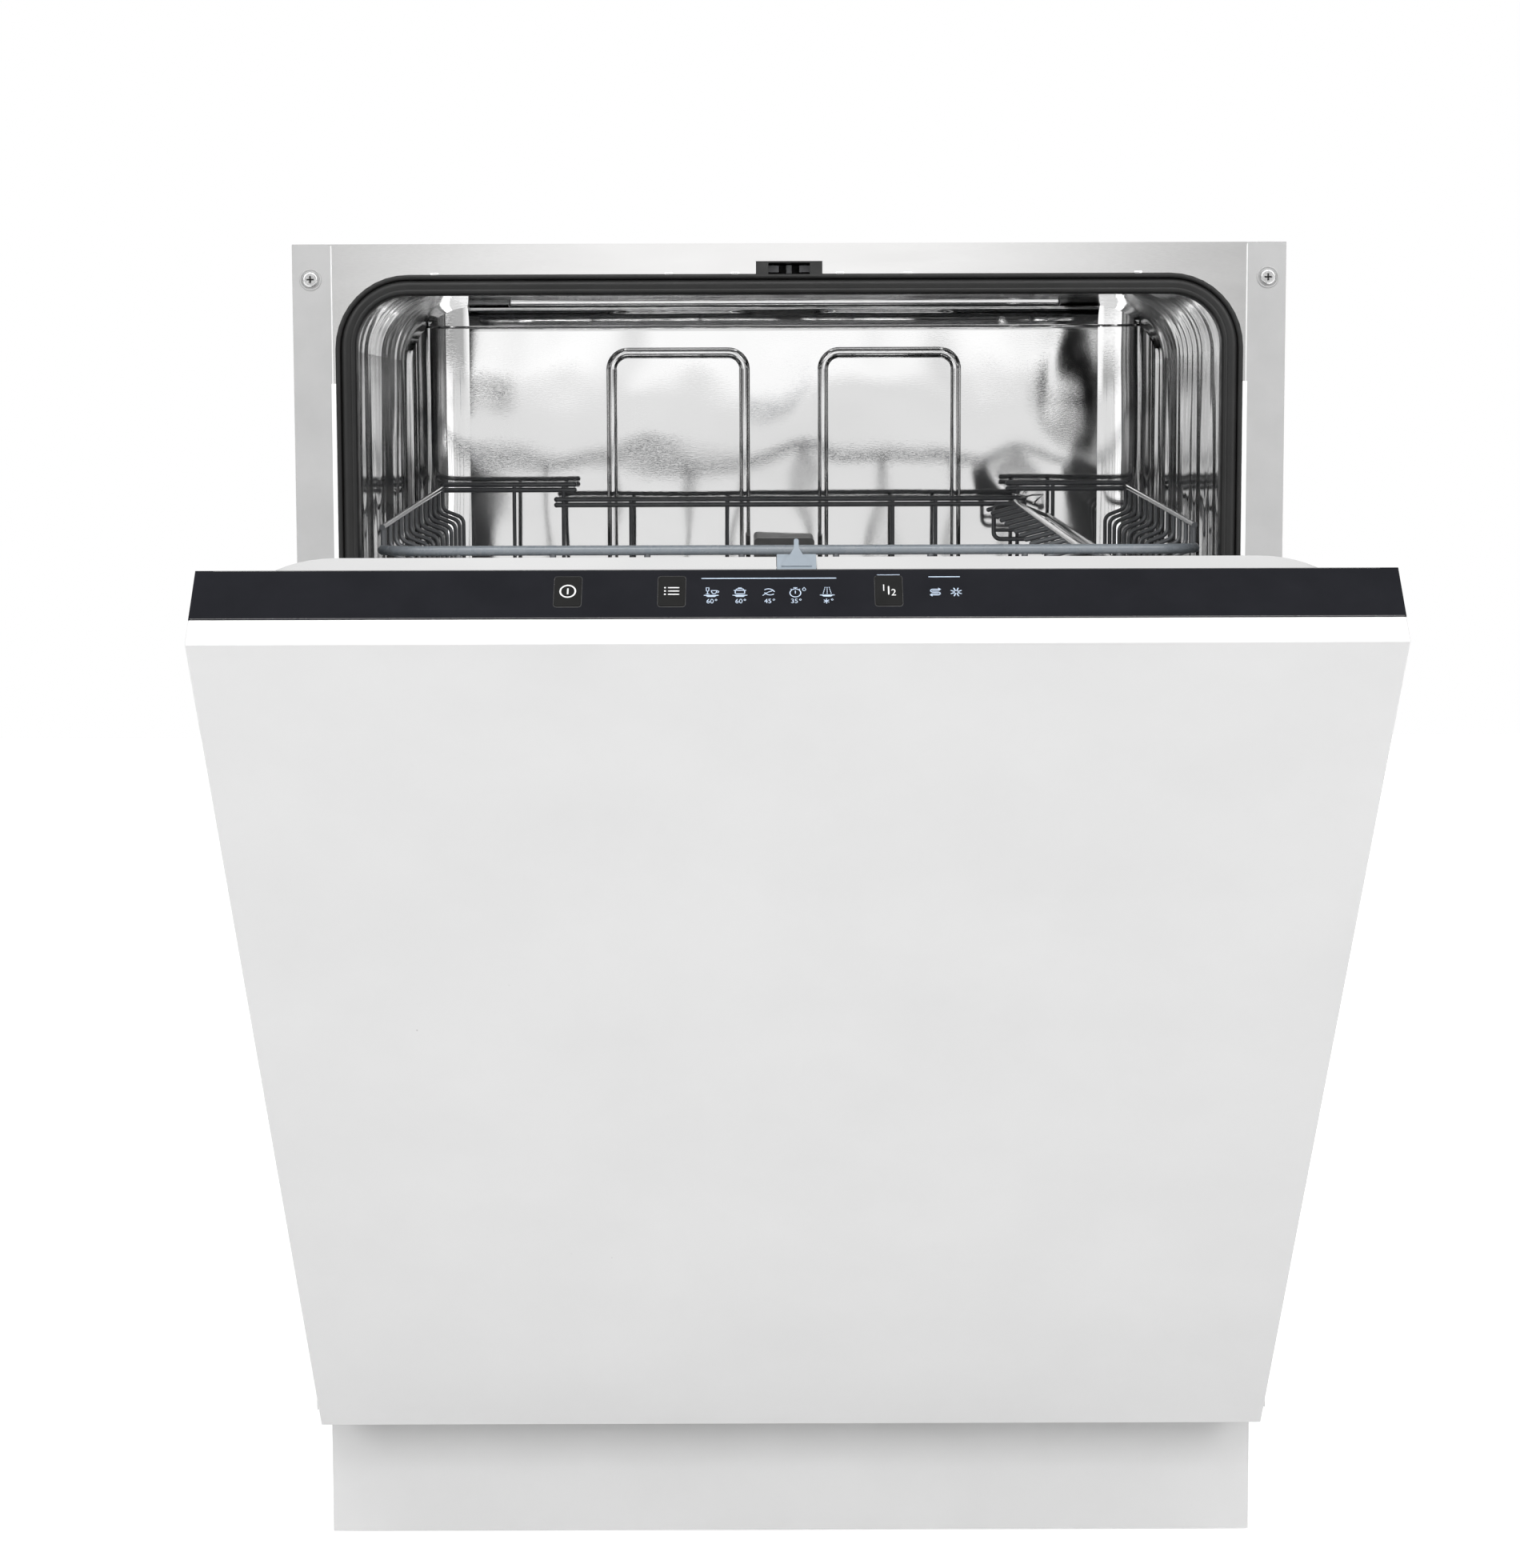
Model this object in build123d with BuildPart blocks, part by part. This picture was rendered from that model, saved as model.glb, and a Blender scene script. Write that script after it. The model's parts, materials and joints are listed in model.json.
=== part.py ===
from build123d import *
import os

# A fully integrated dishwasher that stands with its door ajar. X runs across, Y from the cabinet's front
# plane to its back and Z up from the floor. Sizes are in millimetres. The door's sizes are those of the
# closed door, which is turned about its hinge as it is written.

os.makedirs("parts", exist_ok=True)

# Cabinet
CABINET_WIDTH = 598
CABINET_HEIGHT = 817
CABINET_DEPTH = 503
SHEET = 1
FRAME_SHEET = 2
FRAME_FOOT_Z = 255
FRAME_RETURN = 50
STRIP_WIDTH = 23.5
STRIP_SHEET = 1.5
STRIP_RETURN = 25
STRIP_SCREW_DROP = 21
STRIP_SCREW_INSET = 11
SCREW_R = 2
SCREW_HEAD_R = 4.6
SCREW_HEAD = 2.2
SCREW_LENGTH = 12
SCREW_CROSS = 1.2
REAR_PANEL_FOOT = 100
TAB_WIDTH = 40
TAB_DEPTH = 34
TAB_SETBACK = 30
TAB_HOLE_INSET = 7
TAB_MARGIN = 79
TAB_SPACING = CABINET_WIDTH - 2 * TAB_MARGIN
TAB_HOLE_R = 2.5
FELT = 6
FELT_MARGIN = 45

# Tub
TUB_SIDE_GAP = 27
TUB_TOP_GAP = 20
TUB_BACK_GAP = 18
TUB_HALF = CABINET_WIDTH / 2 - TUB_SIDE_GAP
TUB_TOP = CABINET_HEIGHT - TUB_TOP_GAP
TUB_CORNER_R = 42
TUB_WALL = 1
TUB_FRONT_Y = 12
TUB_BACK_Y = CABINET_DEPTH - TUB_BACK_GAP
TUB_BACK_R = 40
TUB_FLOOR_Z = 208
TUB_FLOOR_SHEET = 1.5
SILL_Y = 3
RIB_R = 4
CEILING_RIB_LENGTH = 393
CEILING_RIB_Y = 395
COVE_R = 18
PRESSED_FRAME_WIDTH = 98
PRESSED_FRAME_CENTRE = 78
PRESSED_FRAME_DROP = 35
PRESSED_FRAME_TOP = TUB_TOP - PRESSED_FRAME_DROP
PRESSED_FRAME_FOOT = 300
PRESSED_FRAME_R = 12

# Gasket
GASKET_SIDE = 10
GASKET_TOP = 9.5
GASKET_NOSE = 1
GASKET_FOOT_Z = 225
GASKET_ROUND = 4

# Base
BASE_FOOT_Z = 22
BASE_HEIGHT = 40
BASE_WALL = 2.5
KICK_MARGIN = 4.5
KICK_WIDTH = CABINET_WIDTH - 2 * KICK_MARGIN
KICK_FRONT_Y = 64
KICK_SHEET = 2
BASE_FRONT_Y = KICK_FRONT_Y + KICK_SHEET
KICK_GAP = 1
KICK_TOP_Z = 88
TOE_GAP = 4
TOE_DEPTH = 70
BASE_INSET = 7
FOOT_INSET = 44
FOOT_BACK_INSET = 33
FOOT_X = CABINET_WIDTH / 2 - FOOT_INSET
FOOT_FRONT_Y = 100
FOOT_BACK_Y = CABINET_DEPTH - FOOT_BACK_INSET
FOOT_PAD_R = 20
FOOT_PAD = 10
FOOT_STUD_R = 5
FOOT_STUD_TOP = 55
FOOT_NUT_R = 9
FOOT_BOSS_R = 10
FOOT_BOSS = 16
RUNNING_GAP = 0.06
LOOSE_GAP = 0.5

# Door, closed
DOOR_ANGLE = 42
HINGE_Y = 14.5
HINGE_Z = 214.5
DOOR_GAP = 2
PANEL_MARGIN = 2
PANEL_WIDTH = CABINET_WIDTH - 2 * PANEL_MARGIN
PANEL_THICKNESS = 17
PANEL_FOOT_Z = 105
PANEL_DROP = 9
PANEL_TOP_Z = CABINET_HEIGHT - PANEL_DROP
FASCIA_DEPTH = 34
FASCIA_HEIGHT = 25
FASCIA_WALL = 2.5
LINER_MARGIN = 10
LINER_HALF = CABINET_WIDTH / 2 - LINER_MARGIN
LINER_RIM = 11
LINER_DROP = 2.2
LINER_TOP_Z = PANEL_TOP_Z - LINER_DROP
LINER_FOOT_Z = 160
LINER_CORNER_R = 60
LINER_NOTCH = 11
LINER_NOTCH_X = LINER_HALF - LINER_NOTCH
LINER_NOTCH_Z = 256
PLATEAU = 8
PLATEAU_SIDE_GAP = 34
PLATEAU_HALF = TUB_HALF - PLATEAU_SIDE_GAP
PLATEAU_FOOT_Z = 245
PLATEAU_DROP = 42
PLATEAU_TOP_Z = LINER_TOP_Z - PLATEAU_DROP
PLATEAU_R = 30
BACKING_LAP = 5
BACKING_HALF = LINER_HALF + BACKING_LAP
BACKING_FOOT_Z = 150
BRACKET_SHEET = 2
BRACKET_WIDTH = 30
BRACKET_INSET = 57
BRACKET_DROP = 68
BRACKET_X = PANEL_WIDTH / 2 - BRACKET_INSET
BRACKET_FOOT_Z = 300
BRACKET_LENGTH = PANEL_TOP_Z - BRACKET_DROP - BRACKET_FOOT_Z

# Sump and what stands in it
SUMP_Y = 265
SUMP_R = 105
SUMP_WALL = 3
SUMP_FLANGE = 12
SUMP_DEPTH = 56
FILTER_SHEET = 2
FILTER_LAP = 9
FILTER_R = 34
FILTER_Y = 318
FILTER_FOOT_GAP = 6
FILTER_RISE = 12
FILTER_GRIP = 10
POST_R = 10
POST_Y = 235
ARM_LIFT = 20
ARM_HUB_R = 20
ARM_HUB = 16
ARM_WIDTH = 42
ARM_THICKNESS = 12
LOWER_ARM_LENGTH = 440
UPPER_ARM_LENGTH = 420
UPPER_ARM_DROP = 319
UPPER_ARM_Z = TUB_TOP - UPPER_ARM_DROP
SALT_X = -205
SALT_Y = 205
SALT_CAP_R = 30
SALT_CAP = 11
SALT_NECK_R = 27
SALT_TURN_GAP = 1
TANK_WIDTH = 112
TANK_DEPTH = 190
TANK_HEIGHT = 84
PUMP_R = 42
PUMP_LENGTH = 150
PUMP_Z = 112
DRAIN_PUMP_R = 26
DRAIN_PUMP_LENGTH = 90
DRAIN_X = 150
DRAIN_SPIGOT_R = 10
INLET_R = 13.2
INLET_INSET = 74
INLET_X = CABINET_WIDTH / 2 - INLET_INSET
INLET_BORE_R = 9
INLET_BODY = 40
SPIGOT_Z = 82
SPIGOT_REACH = 22
BREAK_TANK_GAP = 2
BREAK_TANK_DEPTH = 250
BREAK_TANK_Y = 150
BREAK_TANK_Z = 320
BREAK_TANK_DROP = 117
BREAK_TANK_HEIGHT = CABINET_HEIGHT - BREAK_TANK_DROP - BREAK_TANK_Z
DUCT_HALF = 22.2
DUCT_DEPTH = 23
DUCT_DROP = 171
DUCT_TOP = TUB_TOP - DUCT_DROP
DUCT_NECK_HALF = 15
DUCT_HEAD = 60
DUCT_ROUND = 3
DOCK_R = 11
DOCK_DROP = 292
DOCK_Z = TUB_TOP - DOCK_DROP
DOCK_REACH = 5

# Latch and strike
LATCH_HALF = 20
LATCH_NOSE = 9
LATCH_DEPTH = 46
LATCH_HEIGHT = 16
LATCH_FIT = 0.3
LATCH_WALL = 1.4
LATCH_MOUTH_HALF = 12.5
LATCH_CAVITY_HALF = 17
LATCH_CAVITY_DEPTH = 40
JAW_X = 10
JAW_Y = 24
JAW_POST_R = 2
JAW_HUB_R = 4.5
JAW_GAP = 6.2
JAW_TIP_Y = 5
JAW_THICKNESS = 4
LATCH_PIN_R = 2.2
LATCH_PIN_Y = 21
STRIKE_HALF = 9.75
STRIKE_FIN_HALF = 7.5
STRIKE_FIN_Y = -9
STRIKE_TIP_R = 1.2
STRIKE_TIP_Y = 10.8
STRIKE_SHOULDER_Y = 5.3
STRIKE_TONGUE_Y = 3
STRIKE_TONGUE = 4
STRIKE_HEIGHT = 6
STRIKE_FIT = 0.6

# Hinges and springs
ARM_INSET = 17
ARM_X = CABINET_WIDTH / 2 - ARM_INSET
ARM_SHEET = 3
ARM_DISC_R = 33
ARM_BAR_WIDTH = 30
ARM_BAR_FOOT_Z = 185
ARM_BAR_TOP_Z = 430
PIN_R = 5
PIN_HEAD_R = 8
PIN_HEAD = 2
BRACKET_PLATE_GAP = 3
HINGE_PLATE_FRONT_Y = 5
HINGE_PLATE_BACK_Y = 95
HINGE_PLATE_FOOT_Z = 206
HINGE_PLATE_TOP_Z = 276
HINGE_BOSS_R = 8
HINGE_BOSS_PLACES = [(40, 262), (80, 225)]
CORD_R = 1.5
SPRING_R = 7
SPRING_FRONT_Y = 130
SPRING_LENGTH = 190

# Controls and dispenser
BUTTON_WIDTH = 13
BUTTON_LENGTH = 20.5
BUTTON_ROUND = 1.2
BUTTON_FIT = 0.3
BUTTON_FLANGE = 1.6
BUTTON_PROUD = 0.4
BUTTON_SKIRT = 3
BUTTON_PLACES = {"power_button": -112.5, "program_button": -61.5, "half_load_button": 45}
CONTROL_BOX_X0 = -160
CONTROL_BOX_X1 = 100
CONTROL_BOX_HEIGHT = 90
CONTROL_BOX_GAP = 10
DISPENSER_HALF = 80
DISPENSER_FOOT_Z = 410
DISPENSER_TOP_Z = 560
DISPENSER_PROUD = 1.5
DISPENSER_DEPTH = 38
DISPENSER_FIT = 0.2
CUP_X0 = -70
CUP_X1 = 10
CUP_Z0 = 422
CUP_Z1 = 490
CUP_DEPTH = 26
LID_LAP = 5
LID_THICKNESS = 2.5
RINSE_X = 45
RINSE_Z = 456
RINSE_CAP_R = 17
RINSE_CAP = 4
RINSE_STEM_R = 8
RINSE_STEM = 16
SEAL_HEIGHT = 8
SEAL_DEPTH = 4

# Racks
WIRE_R = 2
SIDE_WIRE_R = 1.4
RAIL_R = 2.2
UPPER_RAIL_R = 1.8
FRONT_RAIL_R = 3
WIRE_LAP = 0.5
RACK_BACK_GAP = 30
UPPER_SIDE_GAP = 16
UPPER_HALF = TUB_HALF - UPPER_SIDE_GAP
UPPER_TAPER = 6
UPPER_FRONT_Y = 60
UPPER_BACK_Y = TUB_BACK_Y - RACK_BACK_GAP
UPPER_DROP = 166
UPPER_HEIGHT = 111
RAIL_RISE_FRONT = 13
RAIL_RISE_BACK = 33
UPPER_FRONT_Z = TUB_TOP - UPPER_DROP
UPPER_RAIL_FRONT_Z = UPPER_FRONT_Z + RAIL_RISE_FRONT
UPPER_RAIL_BACK_Z = UPPER_FRONT_Z + RAIL_RISE_BACK
UPPER_FLOOR_Z = UPPER_FRONT_Z - UPPER_HEIGHT
SIDE_WIRE_COUNT = 13
SIDE_WIRE_START = 33
STEP_IN = 15
STEP_DROP = 16
STEP_SLOPE = 6
STEP_BEND = 6
CORNER_BEND = 25
CORNER_STUB = 3
STUB_RISE = 35
MIDDLE_RISE = 24
STUB_RAIL_Z = UPPER_FRONT_Z + STUB_RISE
MIDDLE_RAIL_Z = UPPER_FRONT_Z + MIDDLE_RISE
RAIL_PAIR_GAP = 4
BACK_WIRES = [-198, -162, -112.5, -42, 79.5, 111, 171, 197]
LEFT_STUB_LAP = 8
MIDDLE_RAIL_LAP = 5
RIGHT_STUB_LAP = 7
FRONT_WIRE_COUNT = 8
FLOOR_RUNS = [-220, -150, -60, 60, 150, 220]
SLIDE_SIDE_GAP = 13.5
SLIDE_WIDTH = 8.5
SLIDE_RISE = 72
SLIDE_HEIGHT = 16
SLIDE_X1 = TUB_HALF - SLIDE_SIDE_GAP
SLIDE_X0 = SLIDE_X1 - SLIDE_WIDTH
SLIDE_Z0 = UPPER_FLOOR_Z + SLIDE_RISE
SLIDE_Z1 = SLIDE_Z0 + SLIDE_HEIGHT
SLIDE_FRONT_Y = 65
SLIDE_BACK_GAP = 15
SLIDE_BACK_Y = UPPER_BACK_Y - SLIDE_BACK_GAP
SLIDE_GAP = 1.5
SLIDE_STEM = 6
CHANNEL_WALL = 2
CHANNEL_FRONT_Y = 16
FEED_R = 12
FEED_END_GAP = 1
UPPER_HUB_Y = 240
HUB_CAP = 3
HUB_CAP_R = 14
SHELF_SIDE_GAP = 79
SHELF_X = UPPER_HALF - SHELF_SIDE_GAP
SHELF_SKEW = 16
SHELF_FRONT_Y = 95
SHELF_BACK_GAP = 10
SHELF_BACK_Y = UPPER_BACK_Y - SHELF_BACK_GAP
SHELF_FRONT_RISE = -1
SHELF_BACK_RISE = 21
SHELF_ROD_R = 2.4
SHELF_RIB_R = 1.3
SHELF_RIB_COUNT = 13
SHELF_LEFT = 20
SHELF_LEFT_DROP = 5
SHELF_RIGHT = 24
SHELF_RIGHT_DROP = 10
LOWER_SIDE_GAP = 22
LOWER_HALF = TUB_HALF - LOWER_SIDE_GAP
LOWER_FRONT_Y = 40
LOWER_FLOOR_Z = 256
LOWER_RAIL_Z = 392
LOWER_FRONT_Z = 372
WHEEL_R = 17
WHEEL_WIDTH = 8
WHEEL_INSET = 10
WHEEL_X = LOWER_HALF - WHEEL_INSET
WHEEL_YS = {"front": 110, "back": 370}
AXLE_R = 3
AXLE_PLATE = 2
AXLE_PLATE_HALF = 8
TINE_HEIGHT = 72
TINE_COUNT = 12
TINE_ROWS = {"tine_row_left": -110, "tine_row_right": 25}
TINE_FRONT_Y = 80
TINE_BACK_GAP = 45
TINE_BACK_Y = UPPER_BACK_Y - TINE_BACK_GAP
BASKET_SIDE_GAP = 36
BASKET_WIDTH = 96
BASKET_X1 = LOWER_HALF - BASKET_SIDE_GAP
BASKET_X0 = BASKET_X1 - BASKET_WIDTH
BASKET_FRONT_Y = 90
BASKET_LENGTH = 240
BASKET_HEIGHT = 128
BASKET_WALL = 2
BASKET_CELLS = 6
BASKET_SLOT = 9

HINGE = Axis((0, HINGE_Y, HINGE_Z), (1, 0, 0))
ALONG_X = (0, 90, 0)
ALONG_Y = (90, 0, 0)
ALONG_Z = (0, 0, 0)
SIDES = {-1: "left", 1: "right"}


def block(x0, x1, y0, y1, z0, z1, mode=Mode.ADD):
    """Adds a box that spans these limits to the piece in hand, or cuts it away."""
    with Locations(((x0 + x1) / 2, (y0 + y1) / 2, (z0 + z1) / 2)):
        Box(abs(x1 - x0), abs(y1 - y0), abs(z1 - z0), mode=mode)


def rod(centre, radius, length, turn=ALONG_Z, mode=Mode.ADD):
    """Adds a round bar about its centre to the piece in hand, or drills it away."""
    with Locations(Location(centre, turn)):
        Cylinder(radius, length, mode=mode)


def upright(y):
    """The plane across the cabinet at this depth, drawn on as it is seen from the front."""
    return Plane(origin=(0, y, 0), x_dir=(1, 0, 0), z_dir=(0, -1, 0))


def keep(piece, name):
    """Labels a finished piece and writes it."""
    piece.label = name
    export_step(piece, f"parts/{name}.step")


def keep_on_door(piece, name):
    """Turns a piece of the closed door about the hinge to where the door stands, and writes it."""
    keep(piece.rotate(HINGE, DOOR_ANGLE), name)


def bent_wire(points, radius, bend):
    """A round wire through these points with rounded bends."""
    with BuildPart(mode=Mode.PRIVATE) as wire:
        with BuildLine() as path:
            FilletPolyline(*points, radius=bend)
        with BuildSketch(Plane(origin=path.line @ 0, z_dir=path.line % 0)):
            Circle(radius)
        sweep(path=path.line)
    return wire.part


def straight_wire(start, end, radius):
    """A round wire from one point to another."""
    with BuildPart(mode=Mode.PRIVATE) as wire:
        with BuildLine() as path:
            Line(start, end)
        with BuildSketch(Plane(origin=path.line @ 0, z_dir=path.line % 0)):
            Circle(radius)
        sweep(path=path.line)
    return wire.part


def tub_block(side_inset, top_inset, y_front, y_back, z_foot):
    """A solid of the tub's section across, drawn in from its outer skin by these insets."""
    half = TUB_HALF - side_inset
    top = TUB_TOP - top_inset
    corner = TUB_CORNER_R - side_inset
    with BuildPart(mode=Mode.PRIVATE) as solid:
        with BuildSketch(upright(y_front)):
            with BuildLine():
                FilletPolyline((-half, z_foot), (-half, top), (half, top), (half, z_foot), radius=corner)
                Line((half, z_foot), (-half, z_foot))
            make_face()
        extrude(amount=y_front - y_back)
    return solid.part


def tub_back_block(inset):
    """A solid of the back of the tub's plan, with its rounded upright corners, drawn in by this inset."""
    half = TUB_HALF - TUB_WALL - inset
    back = TUB_BACK_Y - inset
    front = TUB_BACK_Y - TUB_BACK_R
    with BuildPart(mode=Mode.PRIVATE) as solid:
        with BuildSketch(Plane.XY.offset(TUB_FLOOR_Z)):
            with BuildLine():
                FilletPolyline(
                    (-half, front - SHEET), (-half, back), (half, back), (half, front - SHEET),
                    radius=TUB_BACK_R - inset - SHEET,
                )
                Line((half, front - SHEET), (-half, front - SHEET))
            make_face()
        extrude(amount=TUB_TOP - TUB_FLOOR_Z)
    return solid.part


# Tub: a wrapper of sides and ceiling, a back with pressed frames, and a floor
cabinet_half = CABINET_WIDTH / 2
tub_skin = tub_block(0, 0, TUB_FRONT_Y, TUB_BACK_Y, TUB_FLOOR_Z)
tub_space = tub_block(TUB_WALL, TUB_WALL, TUB_FRONT_Y, TUB_BACK_Y, TUB_FLOOR_Z)
ceiling_z = TUB_TOP - TUB_WALL
back_face_y = TUB_BACK_Y - TUB_WALL
corner_x = TUB_HALF - TUB_BACK_R

with BuildPart() as ceiling_rib:
    rod((0, CEILING_RIB_Y, ceiling_z), RIB_R, CEILING_RIB_LENGTH, ALONG_X)
    fillet(ceiling_rib.edges().filter_by(GeomType.CIRCLE), RIB_R / 2)
    split(bisect_by=Plane.XY.offset(ceiling_z), keep=Keep.BOTTOM)

with BuildPart() as tub_wrapper:
    add(tub_skin)
    add(tub_space, mode=Mode.SUBTRACT)
    add(ceiling_rib.part)
keep(tub_wrapper.part, "tub_wrapper")


def pressed_frame(centre):
    """The raised edge of one frame pressed in the tub's back: a half-round ridge bent to an arch."""
    left = centre - PRESSED_FRAME_WIDTH / 2
    right = centre + PRESSED_FRAME_WIDTH / 2
    arch = [
        (left, back_face_y, PRESSED_FRAME_FOOT),
        (left, back_face_y, PRESSED_FRAME_TOP),
        (right, back_face_y, PRESSED_FRAME_TOP),
        (right, back_face_y, PRESSED_FRAME_FOOT),
    ]
    with BuildPart(mode=Mode.PRIVATE) as ridge:
        add(bent_wire(arch, RIB_R, PRESSED_FRAME_R))
        wall_mid = TUB_BACK_Y - TUB_WALL / 2
        block(-TUB_HALF, TUB_HALF, back_face_y - RIB_R, wall_mid, TUB_FLOOR_Z, TUB_TOP, Mode.INTERSECT)
    return ridge.part


def back_cove():
    """The rounded sheet where the tub's ceiling turns down into its back."""
    middle_y = back_face_y - COVE_R
    middle_z = ceiling_z - COVE_R
    with BuildPart(mode=Mode.PRIVATE) as cove:
        rod((0, middle_y, middle_z), COVE_R + TUB_WALL, 2 * corner_x, ALONG_X)
        rod((0, middle_y, middle_z), COVE_R, 2 * corner_x, ALONG_X, Mode.SUBTRACT)
        wall_mid = TUB_BACK_Y - TUB_WALL / 2
        block(-corner_x, corner_x, middle_y, wall_mid, middle_z, ceiling_z, Mode.INTERSECT)
    return cove.part


def back_corner(sign):
    """The rounded upright corner of the tub's back on one side."""
    front = TUB_BACK_Y - 2 * TUB_BACK_R
    with BuildPart(mode=Mode.PRIVATE) as corner:
        add(tub_back_block(0))
        add(tub_back_block(TUB_WALL), mode=Mode.SUBTRACT)
        block(sign * corner_x, sign * TUB_HALF, front, TUB_BACK_Y, TUB_FLOOR_Z, TUB_TOP, Mode.INTERSECT)
    return corner.part


frame_ridges = [pressed_frame(-PRESSED_FRAME_CENTRE), pressed_frame(PRESSED_FRAME_CENTRE)]
with BuildPart() as tub_back:
    block(-corner_x, corner_x, back_face_y, TUB_BACK_Y, TUB_FLOOR_Z, TUB_TOP)
    for ridge in frame_ridges:
        add(ridge)
    add(back_cove())
    for sign in SIDES:
        add(back_corner(sign))
    add(tub_space, mode=Mode.INTERSECT)
keep(tub_back.part, "tub_back")

# Tub floor
floor_under = TUB_FLOOR_Z - TUB_FLOOR_SHEET
sump_foot = floor_under - SUMP_DEPTH
with BuildPart() as tub_floor:
    block(-TUB_HALF, TUB_HALF, SILL_Y, TUB_BACK_Y, floor_under, TUB_FLOOR_Z)
    rod((0, SUMP_Y, TUB_FLOOR_Z), SUMP_R, SUMP_FLANGE, mode=Mode.SUBTRACT)
    rod((SALT_X, SALT_Y, TUB_FLOOR_Z), SALT_NECK_R, SUMP_FLANGE, mode=Mode.SUBTRACT)
keep(tub_floor.part, "tub_floor")

# Front frame, its gasket and the strips beside it
strip_inner = cabinet_half - STRIP_WIDTH
collar_outer = tub_block(0, 0, FRAME_SHEET, TUB_FRONT_Y, FRAME_FOOT_Z)
opening = tub_block(TUB_WALL, TUB_WALL, 0, TUB_FRONT_Y, FRAME_FOOT_Z)
with BuildPart() as front_frame:
    block(-strip_inner, strip_inner, 0, FRAME_SHEET, FRAME_FOOT_Z, CABINET_HEIGHT)
    add(collar_outer)
    block(-strip_inner, strip_inner, 0, FRAME_RETURN, CABINET_HEIGHT - SHEET, CABINET_HEIGHT)
    add(opening, mode=Mode.SUBTRACT)
    latch_cut = LATCH_HALF + LATCH_FIT
    block(-latch_cut, latch_cut, 0, FRAME_SHEET, TUB_TOP, TUB_TOP + LATCH_NOSE + LATCH_FIT, Mode.SUBTRACT)
keep(front_frame.part, "front_frame")

gasket_side = TUB_WALL + GASKET_SIDE
gasket_top = TUB_WALL + GASKET_TOP
gasket_outer = tub_block(TUB_WALL, TUB_WALL, -GASKET_NOSE, TUB_FRONT_Y, GASKET_FOOT_Z)
gasket_inner = tub_block(gasket_side, gasket_top, -GASKET_NOSE, TUB_FRONT_Y, GASKET_FOOT_Z)
with BuildPart() as door_gasket:
    add(gasket_outer)
    add(gasket_inner, mode=Mode.SUBTRACT)
    nose_edges = door_gasket.faces().sort_by(Axis.Y)[0].edges().sort_by(Axis.Z)[2:]
    fillet(nose_edges, GASKET_ROUND)
keep(door_gasket.part, "door_gasket")

strip_screw_x = cabinet_half - STRIP_SCREW_INSET
strip_screw_z = CABINET_HEIGHT - STRIP_SCREW_DROP
with BuildPart() as side_strips:
    for sign in SIDES:
        skin = sign * (cabinet_half - SHEET)
        block(sign * strip_inner, sign * cabinet_half, 0, STRIP_SHEET, FRAME_FOOT_Z, CABINET_HEIGHT)
        block(skin, sign * cabinet_half, STRIP_SHEET, STRIP_RETURN, FRAME_FOOT_Z, CABINET_HEIGHT)
        rod((sign * strip_screw_x, 0, strip_screw_z), SCREW_R, SCREW_LENGTH, ALONG_Y, Mode.SUBTRACT)
keep(side_strips.part, "side_strips")

with BuildPart() as side_panels:
    for sign in SIDES:
        skin = sign * (cabinet_half - SHEET)
        block(skin, sign * cabinet_half, STRIP_RETURN, CABINET_DEPTH, BASE_FOOT_Z, CABINET_HEIGHT)
        toe_back = KICK_FRONT_Y + TOE_DEPTH
        toe_top = KICK_TOP_Z + TOE_GAP
        block(skin, sign * cabinet_half, STRIP_RETURN, toe_back, BASE_FOOT_Z, toe_top, Mode.SUBTRACT)
keep(side_panels.part, "side_panels")

with BuildPart() as strip_screws:
    for sign in SIDES:
        rod((sign * strip_screw_x, SCREW_LENGTH / 2, strip_screw_z), SCREW_R, SCREW_LENGTH, ALONG_Y)
        rod((sign * strip_screw_x, -SCREW_HEAD / 2, strip_screw_z), SCREW_HEAD_R, SCREW_HEAD, ALONG_Y)
    fillet(strip_screws.edges().group_by(Axis.Y)[0], SCREW_HEAD / 2)
    cross_z0 = strip_screw_z - SCREW_HEAD_R / 2
    cross_z1 = strip_screw_z + SCREW_HEAD_R / 2
    for sign in SIDES:
        x = sign * strip_screw_x
        arm = SCREW_CROSS / 2
        block(x - arm, x + arm, -SCREW_HEAD, -SCREW_HEAD / 2, cross_z0, cross_z1, Mode.SUBTRACT)
        reach = SCREW_HEAD_R / 2
        low = strip_screw_z - arm
        high = strip_screw_z + arm
        block(x - reach, x + reach, -SCREW_HEAD, -SCREW_HEAD / 2, low, high, Mode.SUBTRACT)
keep(strip_screws.part, "strip_screws")

with BuildPart() as rear_panel:
    rear_half = cabinet_half - SHEET
    block(-rear_half, rear_half, CABINET_DEPTH - SHEET, CABINET_DEPTH, REAR_PANEL_FOOT, CABINET_HEIGHT)
keep(rear_panel.part, "rear_panel")

with BuildPart() as top_insulation:
    felt_half = TUB_HALF - FELT_MARGIN
    felt_front = FRAME_RETURN + FELT_MARGIN
    block(-felt_half, felt_half, felt_front, TUB_BACK_Y - FELT_MARGIN, TUB_TOP, TUB_TOP + FELT)
keep(top_insulation.part, "top_insulation")

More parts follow.
